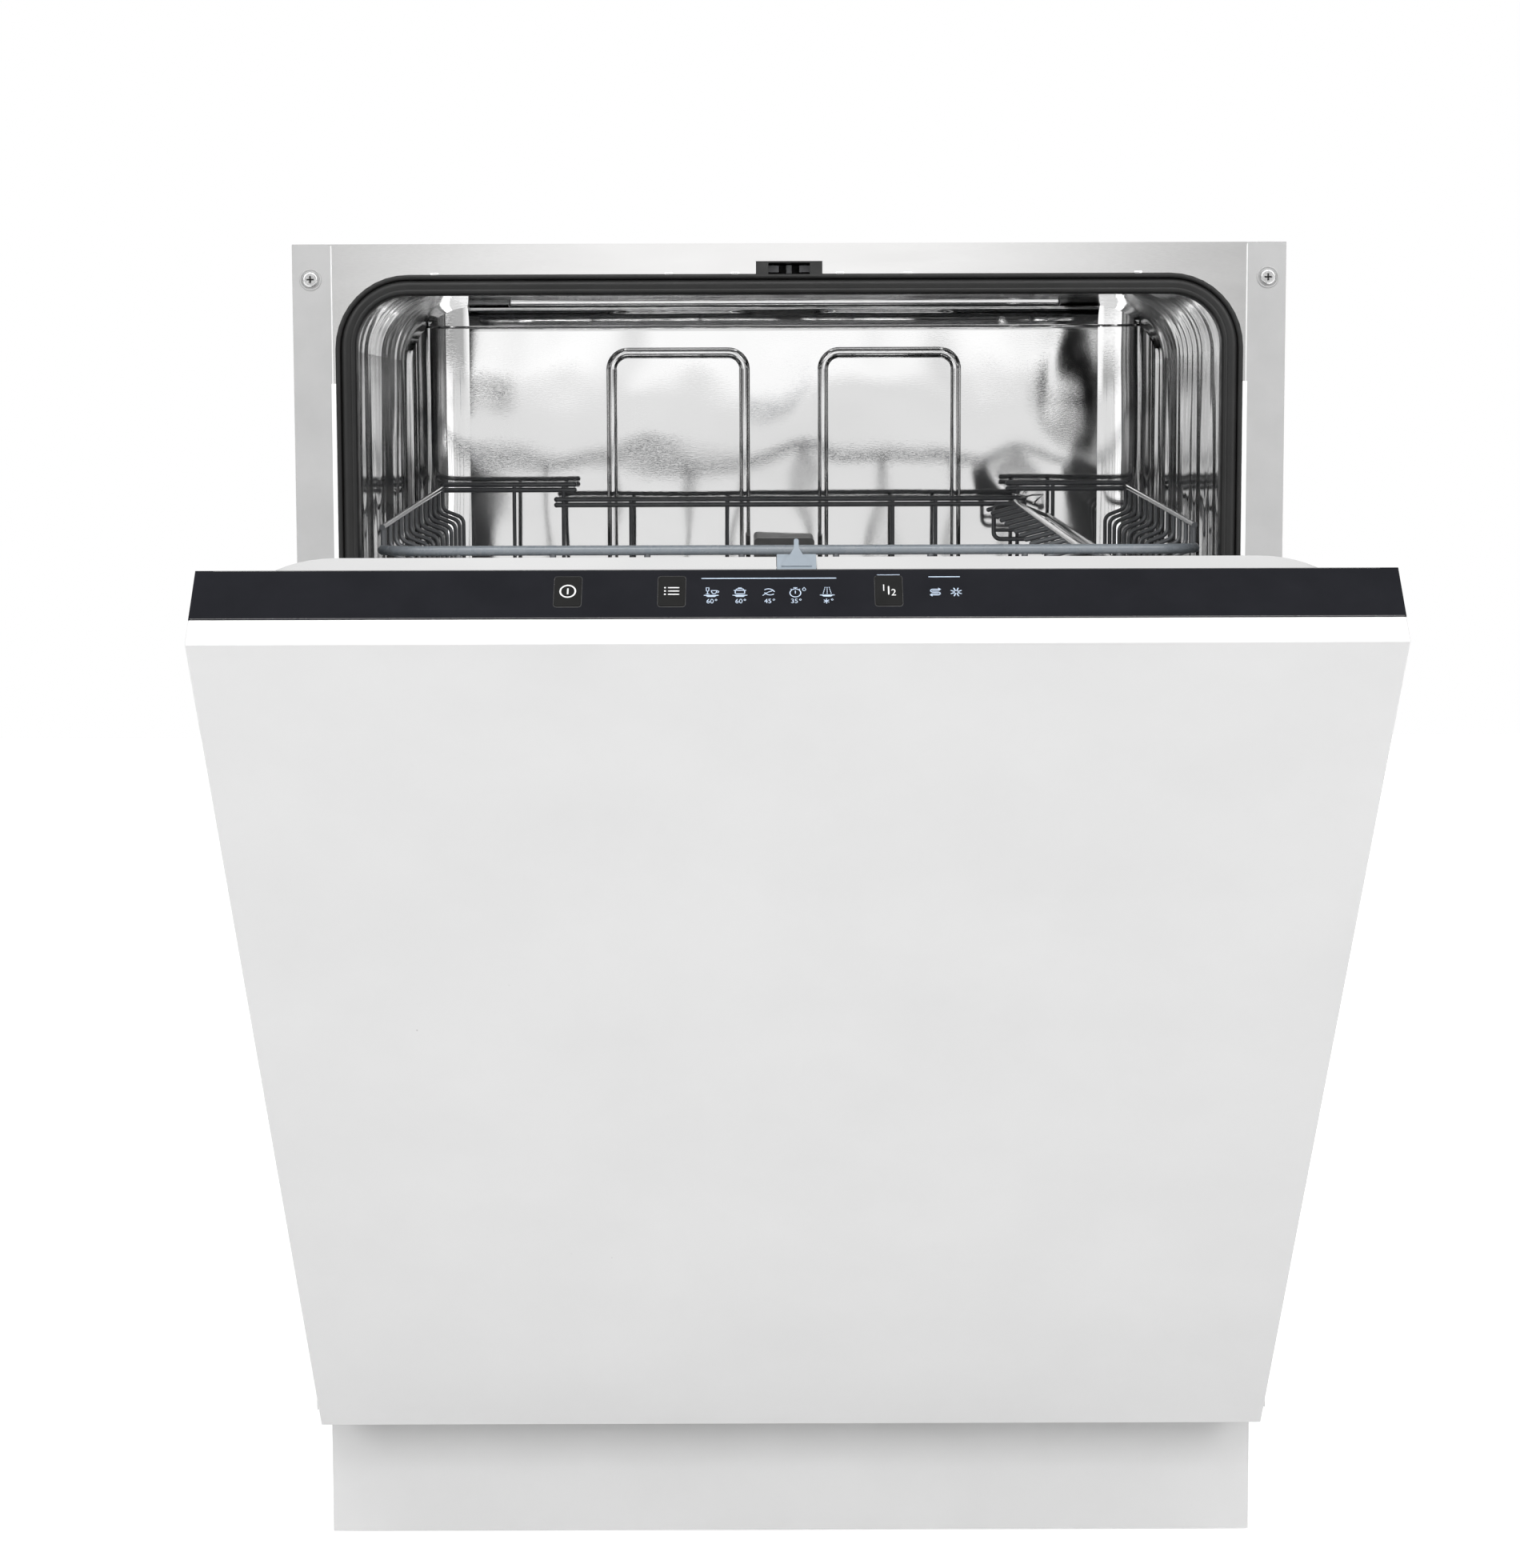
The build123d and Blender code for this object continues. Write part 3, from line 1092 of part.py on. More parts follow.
# Upper rack
def upper_rail_z(y):
    """Height of the upper rack's sloping side rails at a depth."""
    slope = (UPPER_RAIL_BACK_Z - UPPER_RAIL_FRONT_Z) / (UPPER_BACK_Y - UPPER_FRONT_Y)
    return UPPER_RAIL_FRONT_Z + slope * (y - UPPER_FRONT_Y)


def upper_half_at(y):
    """Half the upper rack's width at a depth: its sides draw in towards the back."""
    return UPPER_HALF - UPPER_TAPER * (y - UPPER_FRONT_Y) / (UPPER_BACK_Y - UPPER_FRONT_Y)


def upper_wire_at(y):
    """Half the width between the stepped-in side wires at a depth."""
    return upper_half_at(y) - STEP_IN


upper_wire_ys = spread(UPPER_FRONT_Y + SIDE_WIRE_START, UPPER_BACK_Y - 2 * RAIL_R, SIDE_WIRE_COUNT)


def upper_side(sign):
    """A side grille of the upper rack: a sloping rail and wires that step inwards under it."""
    rail_y0 = UPPER_FRONT_Y + CORNER_BEND - CORNER_STUB
    rail_y1 = UPPER_BACK_Y - UPPER_RAIL_R
    ends = [(sign * upper_half_at(y), y, upper_rail_z(y)) for y in (rail_y0, rail_y1)]
    wires = [straight_wire(*ends, UPPER_RAIL_R)]
    for y in upper_wire_ys:
        top = upper_rail_z(y)
        x = sign * upper_half_at(y)
        inner = sign * upper_wire_at(y)
        bends = [
            (x, y, top),
            (x, y, top - STEP_DROP),
            (inner, y, top - STEP_DROP - STEP_SLOPE),
            (inner, y, UPPER_FLOOR_Z + WIRE_R),
        ]
        wires.append(bent_wire(bends, SIDE_WIRE_R, STEP_BEND))
    link_y = rail_y0 + UPPER_RAIL_R
    link_x = sign * upper_half_at(link_y)
    link_foot = (link_x, link_y, UPPER_FRONT_Z + FRONT_RAIL_R)
    wires.append(straight_wire((link_x, link_y, upper_rail_z(link_y)), link_foot, SIDE_WIRE_R))
    return welded(wires)


def upper_back():
    """The back grille of the upper rack: stub rails in pairs, a lower middle pair, and upright wires."""
    left_stub = BACK_WIRES[1]
    right_stub = BACK_WIRES[-2]
    back_half = upper_half_at(UPPER_BACK_Y)
    runs = [
        (-back_half, left_stub + LEFT_STUB_LAP, STUB_RAIL_Z),
        (left_stub - MIDDLE_RAIL_LAP, right_stub + MIDDLE_RAIL_LAP, MIDDLE_RAIL_Z),
        (right_stub - RIGHT_STUB_LAP, back_half, STUB_RAIL_Z),
    ]
    wires = []
    for x0, x1, z in runs:
        for rail_z in (z, z - RAIL_PAIR_GAP):
            start = (x0, UPPER_BACK_Y, rail_z)
            wires.append(straight_wire(start, (x1, UPPER_BACK_Y, rail_z), UPPER_RAIL_R))
    for x in BACK_WIRES:
        top = MIDDLE_RAIL_Z if left_stub < x < right_stub else STUB_RAIL_Z
        foot = (x, UPPER_BACK_Y, UPPER_FLOOR_Z + WIRE_R)
        wires.append(straight_wire((x, UPPER_BACK_Y, top), foot, SIDE_WIRE_R))
    return welded(wires)


upper_rack = Compound(
    label="upper_rack",
    children=[
        rack_floor(upper_wire_at, [UPPER_FRONT_Y, *upper_wire_ys, UPPER_BACK_Y], UPPER_FLOOR_Z, FLOOR_RUNS),
        rack_front(UPPER_HALF, UPPER_FRONT_Y, UPPER_FRONT_Z, UPPER_FLOOR_Z, FRONT_RAIL_R, FRONT_WIRE_COUNT),
        upper_back(),
        upper_side(-1),
        upper_side(1),
    ],
)
keep(upper_rack, "upper_rack")

# Rails on the tub's sides, and slides on the rack that run in them
with BuildPart() as upper_slides:
    slide_mid = (SLIDE_Z0 + SLIDE_Z1) / 2
    for sign in SIDES:
        block(sign * SLIDE_X0, sign * SLIDE_X1, SLIDE_FRONT_Y, SLIDE_BACK_Y, SLIDE_Z0, SLIDE_Z1)
        ys = (SLIDE_FRONT_Y, SLIDE_BACK_Y)
        stem_edges = [(sign * (upper_wire_at(y) + SIDE_WIRE_R), y) for y in ys]
        with BuildSketch(Plane.XY.offset(slide_mid - SLIDE_STEM / 2)):
            with BuildLine():
                Polyline(*stem_edges, (sign * SLIDE_X0, ys[1]), (sign * SLIDE_X0, ys[0]), close=True)
            make_face()
        extrude(amount=SLIDE_STEM)
keep(upper_slides.part, "upper_slides")

with BuildPart() as rack_rails:
    z0 = SLIDE_Z0 - SLIDE_GAP
    z1 = SLIDE_Z1 + SLIDE_GAP
    y1 = SLIDE_BACK_Y + SLIDE_GAP
    lip = SLIDE_X0 - SLIDE_GAP - CHANNEL_WALL
    half_slot = SLIDE_STEM / 2 + SLIDE_GAP
    for sign in SIDES:
        wall = sign * (TUB_HALF - TUB_WALL)
        block(sign * lip, wall, CHANNEL_FRONT_Y, y1, z0 - CHANNEL_WALL, z1 + CHANNEL_WALL)
        x0 = sign * (SLIDE_X0 - SLIDE_GAP)
        x1 = sign * (SLIDE_X1 + SLIDE_GAP)
        block(x0, x1, CHANNEL_FRONT_Y, y1, z0, z1, Mode.SUBTRACT)
        slot_z0 = slide_mid - half_slot
        block(sign * lip, x1, CHANNEL_FRONT_Y, y1, slot_z0, slide_mid + half_slot, Mode.SUBTRACT)
keep(rack_rails.part, "rack_rails")

# Water feed and spray arm under the upper rack
with BuildPart() as upper_spray_feed:
    feed_end = duct_front - DOCK_REACH - FEED_END_GAP
    feed = feed_end - UPPER_HUB_Y
    rod((0, UPPER_HUB_Y + feed / 2, DOCK_Z), FEED_R, feed, ALONG_Y)
    with Locations((0, UPPER_HUB_Y, DOCK_Z)):
        Sphere(FEED_R)
    hub_foot = UPPER_ARM_Z - ARM_HUB / 2 - LOOSE_GAP
    rod((0, UPPER_HUB_Y, (DOCK_Z + hub_foot) / 2), POST_R, DOCK_Z - hub_foot)
    rod((0, UPPER_HUB_Y, hub_foot - HUB_CAP / 2), HUB_CAP_R, HUB_CAP)
keep(upper_spray_feed.part, "upper_spray_feed")
keep(spray_arm(UPPER_HUB_Y, UPPER_ARM_Z, UPPER_ARM_LENGTH), "upper_spray_arm")


# Cup shelf that folds about a rod beside the upper rack's right side
def shelf_point(y, across, drop):
    """A point of the shelf at a depth, across from its pivot rod and below it."""
    depth = (y - SHELF_FRONT_Y) / (SHELF_BACK_Y - SHELF_FRONT_Y)
    x = SHELF_X + SHELF_SKEW * (0.5 - depth)
    rise = SHELF_FRONT_RISE + (SHELF_BACK_RISE - SHELF_FRONT_RISE) * depth
    return (x + across, y, UPPER_FRONT_Z + rise - drop)


def shelf_bar(across, drop, radius):
    """A bar of the shelf that runs from front to back beside the pivot rod."""
    start = shelf_point(SHELF_FRONT_Y, across, drop)
    return straight_wire(start, shelf_point(SHELF_BACK_Y, across, drop), radius)


shelf_wires = [
    shelf_bar(0, 0, SHELF_ROD_R),
    shelf_bar(SHELF_RIGHT, SHELF_RIGHT_DROP, SHELF_ROD_R),
]
for y in spread(SHELF_FRONT_Y + SHELF_ROD_R, SHELF_BACK_Y - SHELF_ROD_R, SHELF_RIB_COUNT):
    low = shelf_point(y, -SHELF_LEFT, SHELF_LEFT_DROP)
    shelf_wires.append(straight_wire(shelf_point(y, 0, 0), low, SHELF_RIB_R))
for y in (SHELF_FRONT_Y + SHELF_ROD_R, SHELF_BACK_Y - SHELF_ROD_R):
    high = shelf_point(y, 0, 0)
    shelf_wires.append(straight_wire(high, shelf_point(y, SHELF_RIGHT, SHELF_RIGHT_DROP), SHELF_RIB_R))
keep(welded(shelf_wires), "cup_shelf")

# Lower rack on its four wheels
lower_wire_ys = spread(LOWER_FRONT_Y + SIDE_WIRE_START, UPPER_BACK_Y - 2 * RAIL_R, SIDE_WIRE_COUNT)
axle_z = TUB_FLOOR_Z + WHEEL_R + LOOSE_GAP


def lower_half_at(y):
    """Half the lower rack's width, the same at every depth."""
    return LOWER_HALF


def lower_side(sign):
    """A side grille of the lower rack: a level rail and upright wires."""
    x = sign * LOWER_HALF
    start = (x, LOWER_FRONT_Y + CORNER_BEND - CORNER_STUB, LOWER_RAIL_Z)
    rail = straight_wire(start, (x, UPPER_BACK_Y - RAIL_R, LOWER_RAIL_Z), RAIL_R)
    foot = LOWER_FLOOR_Z + WIRE_R
    uprights = [straight_wire((x, y, LOWER_RAIL_Z), (x, y, foot), WIRE_R) for y in lower_wire_ys]
    return welded([rail, *uprights])


def lower_back():
    """The back grille of the lower rack."""
    start = (-LOWER_HALF, UPPER_BACK_Y, LOWER_RAIL_Z)
    rail = straight_wire(start, (LOWER_HALF, UPPER_BACK_Y, LOWER_RAIL_Z), RAIL_R)
    foot = LOWER_FLOOR_Z + WIRE_R
    reach = LOWER_HALF - CORNER_BEND
    uprights = [
        straight_wire((x, UPPER_BACK_Y, LOWER_RAIL_Z), (x, UPPER_BACK_Y, foot), WIRE_R)
        for x in spread(-reach, reach, FRONT_WIRE_COUNT)
    ]
    return welded([rail, *uprights])


def axle_plate(sign, y):
    """A plate under the lower rack's floor with the axle of one wheel."""
    x0 = WHEEL_X - 2 * AXLE_PLATE
    x1 = WHEEL_X + WHEEL_WIDTH + AXLE_PLATE
    run_foot = LOWER_FLOOR_Z - WIRE_R
    with BuildPart(mode=Mode.PRIVATE) as plate:
        y0 = y - AXLE_PLATE_HALF
        block(sign * x0, sign * (x0 + AXLE_PLATE), y0, y + AXLE_PLATE_HALF, axle_z - 2 * AXLE_R, run_foot)
        rod((sign * (x0 + x1) / 2, y, axle_z), AXLE_R, x1 - x0, ALONG_X)
    return plate.part


wheel_places = [(sign, y) for y in WHEEL_YS.values() for sign in SIDES]
lower_rack = Compound(
    label="lower_rack",
    children=[
        rack_floor(lower_half_at, [LOWER_FRONT_Y, *lower_wire_ys, UPPER_BACK_Y], LOWER_FLOOR_Z, FLOOR_RUNS),
        rack_front(LOWER_HALF, LOWER_FRONT_Y, LOWER_FRONT_Z, LOWER_FLOOR_Z, RAIL_R, FRONT_WIRE_COUNT),
        lower_back(),
        lower_side(-1),
        lower_side(1),
        *[axle_plate(sign, y) for sign, y in wheel_places],
    ],
)
keep(lower_rack, "lower_rack")

for place, y in WHEEL_YS.items():
    with BuildPart() as lower_wheels:
        for sign in SIDES:
            rod((sign * (WHEEL_X + WHEEL_WIDTH / 2), y, axle_z), WHEEL_R, WHEEL_WIDTH, ALONG_X)
        fillet(lower_wheels.edges().filter_by(GeomType.CIRCLE), AXLE_PLATE)
        for sign in SIDES:
            x = sign * (WHEEL_X + WHEEL_WIDTH / 2)
            rod((x, y, axle_z), AXLE_R + RUNNING_GAP, 2 * WHEEL_WIDTH, ALONG_X, Mode.SUBTRACT)
    keep(lower_wheels.part, f"lower_wheels_{place}")

tine_z = LOWER_FLOOR_Z + 2 * WIRE_R + LOOSE_GAP
for name, x in TINE_ROWS.items():
    tines = [straight_wire((x, TINE_FRONT_Y, tine_z), (x, TINE_BACK_Y, tine_z), WIRE_R)]
    for y in spread(TINE_FRONT_Y + WIRE_R, TINE_BACK_Y - WIRE_R, TINE_COUNT):
        tines.append(straight_wire((x, y, tine_z), (x, y, tine_z + TINE_HEIGHT), WIRE_R))
    keep(welded(tines), name)

with BuildPart() as cutlery_basket:
    z0 = LOWER_FLOOR_Z + WIRE_R + LOOSE_GAP
    z1 = z0 + BASKET_HEIGHT
    y1 = BASKET_FRONT_Y + BASKET_LENGTH
    wall = BASKET_WALL
    block(BASKET_X0, BASKET_X1, BASKET_FRONT_Y, y1, z0, z1)
    front_y = BASKET_FRONT_Y + wall
    block(BASKET_X0 + wall, BASKET_X1 - wall, front_y, y1 - wall, z0 + wall, z1, Mode.SUBTRACT)
    cell = BASKET_LENGTH / BASKET_CELLS
    for row in range(BASKET_CELLS):
        y = BASKET_FRONT_Y + (row + 0.5) * cell
        slot_z0 = z0 + 2 * BASKET_SLOT
        slot_z1 = z1 - 2 * BASKET_SLOT
        slot_y = y - BASKET_SLOT / 2
        block(BASKET_X0, BASKET_X1, slot_y, slot_y + BASKET_SLOT, slot_z0, slot_z1, Mode.SUBTRACT)
keep(cutlery_basket.part, "cutlery_basket")
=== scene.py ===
import json
import math

import bmesh
import bpy
from mathutils import Matrix, Vector


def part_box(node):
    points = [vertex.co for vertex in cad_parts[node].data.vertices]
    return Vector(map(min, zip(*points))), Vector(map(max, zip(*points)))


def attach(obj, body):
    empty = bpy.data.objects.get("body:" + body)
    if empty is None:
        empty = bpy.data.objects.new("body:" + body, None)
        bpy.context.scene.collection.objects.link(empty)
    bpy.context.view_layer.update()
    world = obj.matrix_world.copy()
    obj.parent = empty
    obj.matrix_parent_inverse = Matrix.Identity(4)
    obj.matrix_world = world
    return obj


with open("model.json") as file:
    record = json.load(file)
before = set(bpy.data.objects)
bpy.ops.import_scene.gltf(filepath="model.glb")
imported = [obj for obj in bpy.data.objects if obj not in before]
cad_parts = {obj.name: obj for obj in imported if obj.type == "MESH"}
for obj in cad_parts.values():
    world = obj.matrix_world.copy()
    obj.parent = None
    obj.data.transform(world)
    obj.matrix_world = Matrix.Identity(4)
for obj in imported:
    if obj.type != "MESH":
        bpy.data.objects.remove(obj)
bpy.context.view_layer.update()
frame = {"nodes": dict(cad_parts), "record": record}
nodes = frame["nodes"]
record = frame["record"]

MM = 0.001
ACROSS = (1, 0, 0)
ALONG_Y = (0, 1, 0)
UP = (0, 0, 1)
SHARP_ANGLE = math.radians(40)
NOISE_ROUGHNESS = 0.55
RAMP_STOPS = (0.32, 0.68)
PAINTED_LIGHT_FADE = 0.012
WAVE_DEPTH = 0.02
GRAIN_DEPTH = 0.0004
DOOR_ANGLE = math.radians(42)
PIVOT = Vector((0, 14.5 * MM, 214.5 * MM))
ON_DOOR = Matrix.Translation(PIVOT) @ Matrix.Rotation(DOOR_ANGLE, 4, "X") @ Matrix.Translation(-PIVOT)


# Materials
def wire(tree, source, target):
    tree.links.new(source, target)


def feed(tree, value, socket):
    """Links an output to a socket, or sets a constant on it."""
    if isinstance(value, bpy.types.NodeSocket):
        wire(tree, value, socket)
    else:
        socket.default_value = value


def maths(tree, operation, *values):
    """The result of a sum on outputs and constants."""
    node = tree.nodes.new("ShaderNodeMath")
    node.operation = operation
    for value, socket in zip(values, node.inputs):
        feed(tree, value, socket)
    return node.outputs["Value"]


def map_range(tree, value, start, end, low=0.0, high=1.0, smooth=False):
    """A value carried from one range to another."""
    node = tree.nodes.new("ShaderNodeMapRange")
    if smooth:
        node.interpolation_type = "SMOOTHSTEP"
    node.inputs["From Min"].default_value = start
    node.inputs["From Max"].default_value = end
    node.inputs["To Min"].default_value = low
    node.inputs["To Max"].default_value = high
    wire(tree, value, node.inputs["Value"])
    return node.outputs["Result"]


def blend(tree, share, colour, other):
    """A colour output that turns to another colour by a share."""
    node = tree.nodes.new("ShaderNodeMix")
    node.data_type = "RGBA"
    wire(tree, share, node.inputs["Factor"])
    wire(tree, colour, node.inputs[6])
    node.inputs[7].default_value = (*other, 1)
    return node.outputs[2]


def relief(tree, height, strength, distance, normal):
    """A bump laid over an earlier normal, if there is one."""
    node = tree.nodes.new("ShaderNodeBump")
    feed(tree, strength, node.inputs["Strength"])
    node.inputs["Distance"].default_value = distance
    wire(tree, height, node.inputs["Height"])
    if normal:
        wire(tree, normal, node.inputs["Normal"])
    return node.outputs["Normal"]


def surface(name, colour, other, rough, metallic=0.0, blotch=(18, 18, 18), detail=4.0,
            grain=(900, 900, 900), bump=0.0, wave=(0, 0, 0), wave_bump=0.0, coat=0.0, specular=0.5,
            speck=None, crown=None, lean=0.0):
    """A finish whose colour, roughness and relief all drift between a low and a high value.

    blotch, grain and wave are noise scales, speck is (size, scale, colour) of small dark dots, crown is a
    (height, colour) above which the steel is painted brighter, a painted light, and its waves calmer, and
    lean tips the normal with the height.
    """
    mat = bpy.data.materials.new(name)
    mat.use_nodes = True
    tree = mat.node_tree
    shader = tree.nodes["Principled BSDF"]
    place = tree.nodes.new("ShaderNodeTexCoord").outputs["Object"]

    def noise(scale, depth):
        stretch = tree.nodes.new("ShaderNodeMapping")
        stretch.inputs["Scale"].default_value = scale
        wire(tree, place, stretch.inputs["Vector"])
        tex = tree.nodes.new("ShaderNodeTexNoise")
        tex.inputs["Scale"].default_value = 1.0
        tex.inputs["Detail"].default_value = depth
        tex.inputs["Roughness"].default_value = NOISE_ROUGHNESS
        wire(tree, stretch.outputs["Vector"], tex.inputs["Vector"])
        return tex.outputs["Fac"]

    ramp = tree.nodes.new("ShaderNodeValToRGB")
    for stop, position, shade in zip(ramp.color_ramp.elements, RAMP_STOPS, (colour, other)):
        stop.position = position
        stop.color = (*shade, 1)
    wire(tree, noise(blotch, detail), ramp.inputs["Fac"])
    tint = ramp.outputs["Color"]
    if speck:
        size, speck_scale, speck_colour = speck
        dots = tree.nodes.new("ShaderNodeTexVoronoi")
        dots.inputs["Scale"].default_value = speck_scale
        wire(tree, place, dots.inputs["Vector"])
        near = map_range(tree, dots.outputs["Distance"], size, size * 0.5)
        few = map_range(tree, noise((speck_scale * 0.31,) * 3, 1.0), 0.52, 0.6)
        tint = blend(tree, maths(tree, "MULTIPLY", near, few), tint, speck_colour)
    split = tree.nodes.new("ShaderNodeSeparateXYZ")
    wire(tree, place, split.inputs["Vector"])
    height = split.outputs["Z"]
    wave_strength = wave_bump
    # Painted light: above the given height the colour turns to a brighter one, so the top of the steel
    # looks lit.
    if crown:
        level, bright = crown
        top = map_range(tree, height, level, level + PAINTED_LIGHT_FADE)
        tint = blend(tree, top, tint, bright)
        wave_strength = map_range(tree, top, 0.0, 1.0, wave_bump, 0.1 * wave_bump)
    wire(tree, tint, shader.inputs["Base Color"])
    shader.inputs["Metallic"].default_value = metallic
    shader.inputs["Specular IOR Level"].default_value = specular
    shader.inputs["Coat Weight"].default_value = coat
    drift = noise(tuple(2.7 * scale for scale in blotch), 3.0)
    wire(tree, map_range(tree, drift, 0.3, 0.7, *rough), shader.inputs["Roughness"])
    normal = None
    if lean:
        normal = relief(tree, maths(tree, "MULTIPLY", height, lean), 1.0, 1.0, normal)
    if wave_bump:
        normal = relief(tree, noise(wave, 2.0), wave_strength, WAVE_DEPTH, normal)
    if bump:
        normal = relief(tree, noise(grain, 2.0), bump, GRAIN_DEPTH, normal)
    if normal:
        wire(tree, normal, shader.inputs["Normal"])
    return mat


def grey(level, warm=0.0):
    """A grey, or one that is a little warm."""
    return (level * (1 + warm), level, level * (1 - warm))


finish = {}


def add_finish(name, *args, **more):
    finish[name] = surface(name, *args, **more)


add_finish("tub_back_steel", grey(0.94), grey(0.98), (0.035, 0.07), 1.0, (5, 5, 9),
           grain=(300, 300, 2400), bump=0.02, wave=(5.5, 3, 4.5), wave_bump=0.26, lean=0.06)
# Tub sides and top: a darker copy of the tub's stainless, with painted shade in its colour, and painted
# light above 0.772 m.
add_finish("tub_side_steel_painted_shade", grey(0.33), grey(0.45), (0.06, 0.11), 1.0, (5, 5, 9),
           grain=(300, 300, 2400), bump=0.03, wave=(10, 12, 1.6), wave_bump=0.5,
           crown=(0.772, grey(0.9)))
add_finish("frame_steel", grey(0.9, 0.006), grey(0.95, 0.004), (0.11, 0.15), 1.0, (6, 30, 30),
           grain=(160, 1800, 1800), bump=0.05)
add_finish("liner_steel", grey(0.74), grey(0.8), (0.2, 0.28), 1.0, (5, 9, 9), grain=(2400, 300, 300),
           bump=0.05, wave=(6, 9, 9), wave_bump=0.03)
add_finish("strip_paint", grey(0.425), grey(0.465), (0.42, 0.52), 0.0, (30, 30, 30),
           grain=(2600, 2600, 2600), bump=0.16)
add_finish("zinc_steel", grey(0.5), grey(0.62), (0.34, 0.48), 1.0, (60, 60, 60), 2.0,
           grain=(700, 700, 700), bump=0.06)
add_finish("screw_steel", grey(0.62), grey(0.74), (0.22, 0.34), 1.0, (400, 400, 400),
           grain=(3000, 3000, 3000), bump=0.1)
add_finish("bright_rod", grey(0.72), grey(0.82), (0.14, 0.22), 1.0, (200, 30, 200),
           grain=(3000, 200, 3000), bump=0.05)
add_finish("black_rubber", grey(0.011), grey(0.017), (0.36, 0.48), 0.0, (24, 24, 24),
           grain=(1600, 1600, 1600), bump=0.12, specular=0.3)
add_finish("white_panel", grey(0.8), grey(0.83), (0.42, 0.5), 0.0, (9, 9, 9), grain=(1300, 1300, 1300),
           bump=0.04, speck=(0.02, 26, grey(0.35)))
add_finish("kick_paint", grey(0.7), grey(0.73), (0.4, 0.5), 0.0, (12, 12, 12), grain=(1800, 1800, 1800),
           bump=0.05, speck=(0.02, 30, grey(0.4)))
add_finish("black_fascia", (0.007, 0.0075, 0.0105), (0.0095, 0.01, 0.0135), (0.18, 0.26), 0.0,
           (40, 40, 40), grain=(2200, 2200, 2200), bump=0.03, specular=0.1)
add_finish("button_face", grey(0.008), grey(0.011), (0.3, 0.38), 0.0, (60, 60, 60),
           grain=(2200, 2200, 2200), bump=0.05, specular=0.12)
add_finish("rack_coat", (0.12, 0.126, 0.134), (0.15, 0.157, 0.165), (0.13, 0.21), 0.0, (60, 60, 60),
           grain=(1500, 1500, 1500), bump=0.06, coat=0.25)
add_finish("grey_plastic", grey(0.2), grey(0.24), (0.36, 0.48), 0.0, (50, 50, 50),
           grain=(2600, 2600, 2600), bump=0.12)
add_finish("pale_plastic", (0.27, 0.312, 0.355), (0.3, 0.345, 0.39), (0.34, 0.46), 0.0, (50, 50, 50),
           grain=(2400, 2400, 2400), bump=0.1)
add_finish("black_plastic", grey(0.014), grey(0.024), (0.3, 0.44), 0.0, (60, 60, 60),
           grain=(2600, 2600, 2600), bump=0.12)
add_finish("jaw_plastic", (0.08, 0.08, 0.085), (0.11, 0.11, 0.118), (0.3, 0.4), 0.0, (90, 90, 90),
           grain=(2600, 2600, 2600), bump=0.12)
add_finish("pin_plastic", (0.3, 0.31, 0.32), (0.36, 0.37, 0.38), (0.34, 0.44), 0.0, (90, 90, 90),
           grain=(2600, 2600, 2600), bump=0.1)
# A lighter copy of the rack coat: a painted sheen for the front rail.
add_finish("rail_painted_sheen", (0.215, 0.24, 0.265), (0.25, 0.275, 0.3), (0.22, 0.32), 0.0, (60, 60, 60),
           grain=(1500, 1500, 1500), bump=0.06)
# Pale grey and not metal: a painted highlight for the stainless frame's narrow edges.
add_finish("frame_edge_painted_highlight", grey(0.82), grey(0.88), (0.3, 0.4), 0.0, (60, 60, 60),
           grain=(1500, 1500, 1500), bump=0.05)
add_finish("shelf_coat", (0.11, 0.116, 0.124), (0.14, 0.147, 0.155), (0.12, 0.19), 0.0, (60, 60, 60),
           grain=(1500, 1500, 1500), bump=0.05, coat=0.4)
add_finish("felt", grey(0.05), grey(0.13), (0.85, 0.98), 0.0, (160, 160, 160), grain=(620, 620, 620),
           bump=0.8, specular=0.15)
add_finish("print_white", grey(0.74), grey(0.8), (0.45, 0.55), 0.0, (300, 300, 300))
add_finish("print_blue", (0.5, 0.6, 0.74), (0.56, 0.66, 0.8), (0.45, 0.55), 0.0, (300, 300, 300))
# Lighter grey lines: painted highlights on the fascia's edges and round its buttons.
add_finish("edge_painted_highlight", grey(0.045), grey(0.07), (0.2, 0.3), 0.0, (90, 90, 90))
# Near black: painted shade for holes and recesses, and the rinse-aid lens's own dark colour.
add_finish("painted_hole_shade_and_dark_lens", grey(0.006), grey(0.01), (0.6, 0.7), 0.0, (90, 90, 90))

# The other stainless parts take the darker side steel, with its painted shade.
SLOT_FINISH = {"stainless": "tub_side_steel_painted_shade"}
OWN_FINISH = {
    "front_frame": "frame_steel",
    "tub_back": "tub_back_steel",
    "door_inner_panel": "liner_steel",
    "cup_shelf": "shelf_coat",
    "latch_jaw_left": "jaw_plastic",
    "latch_jaw_right": "jaw_plastic",
    "power_button": "button_face",
    "program_button": "button_face",
    "half_load_button": "button_face",
}
slot_of = {part["node"]: part["material_slot"] for part in record["subparts"]}


def paint(obj, finish_name):
    obj.data.materials.clear()
    obj.data.materials.append(finish[finish_name])


for name, obj in nodes.items():
    slot = slot_of[name]
    paint(obj, OWN_FINISH.get(name) or SLOT_FINISH.get(slot, slot))


# Pieces
def turned(matrix, points):
    """Points in millimetres, put in metres and moved by a matrix."""
    return [matrix @ (Vector(p) * MM) for p in points]


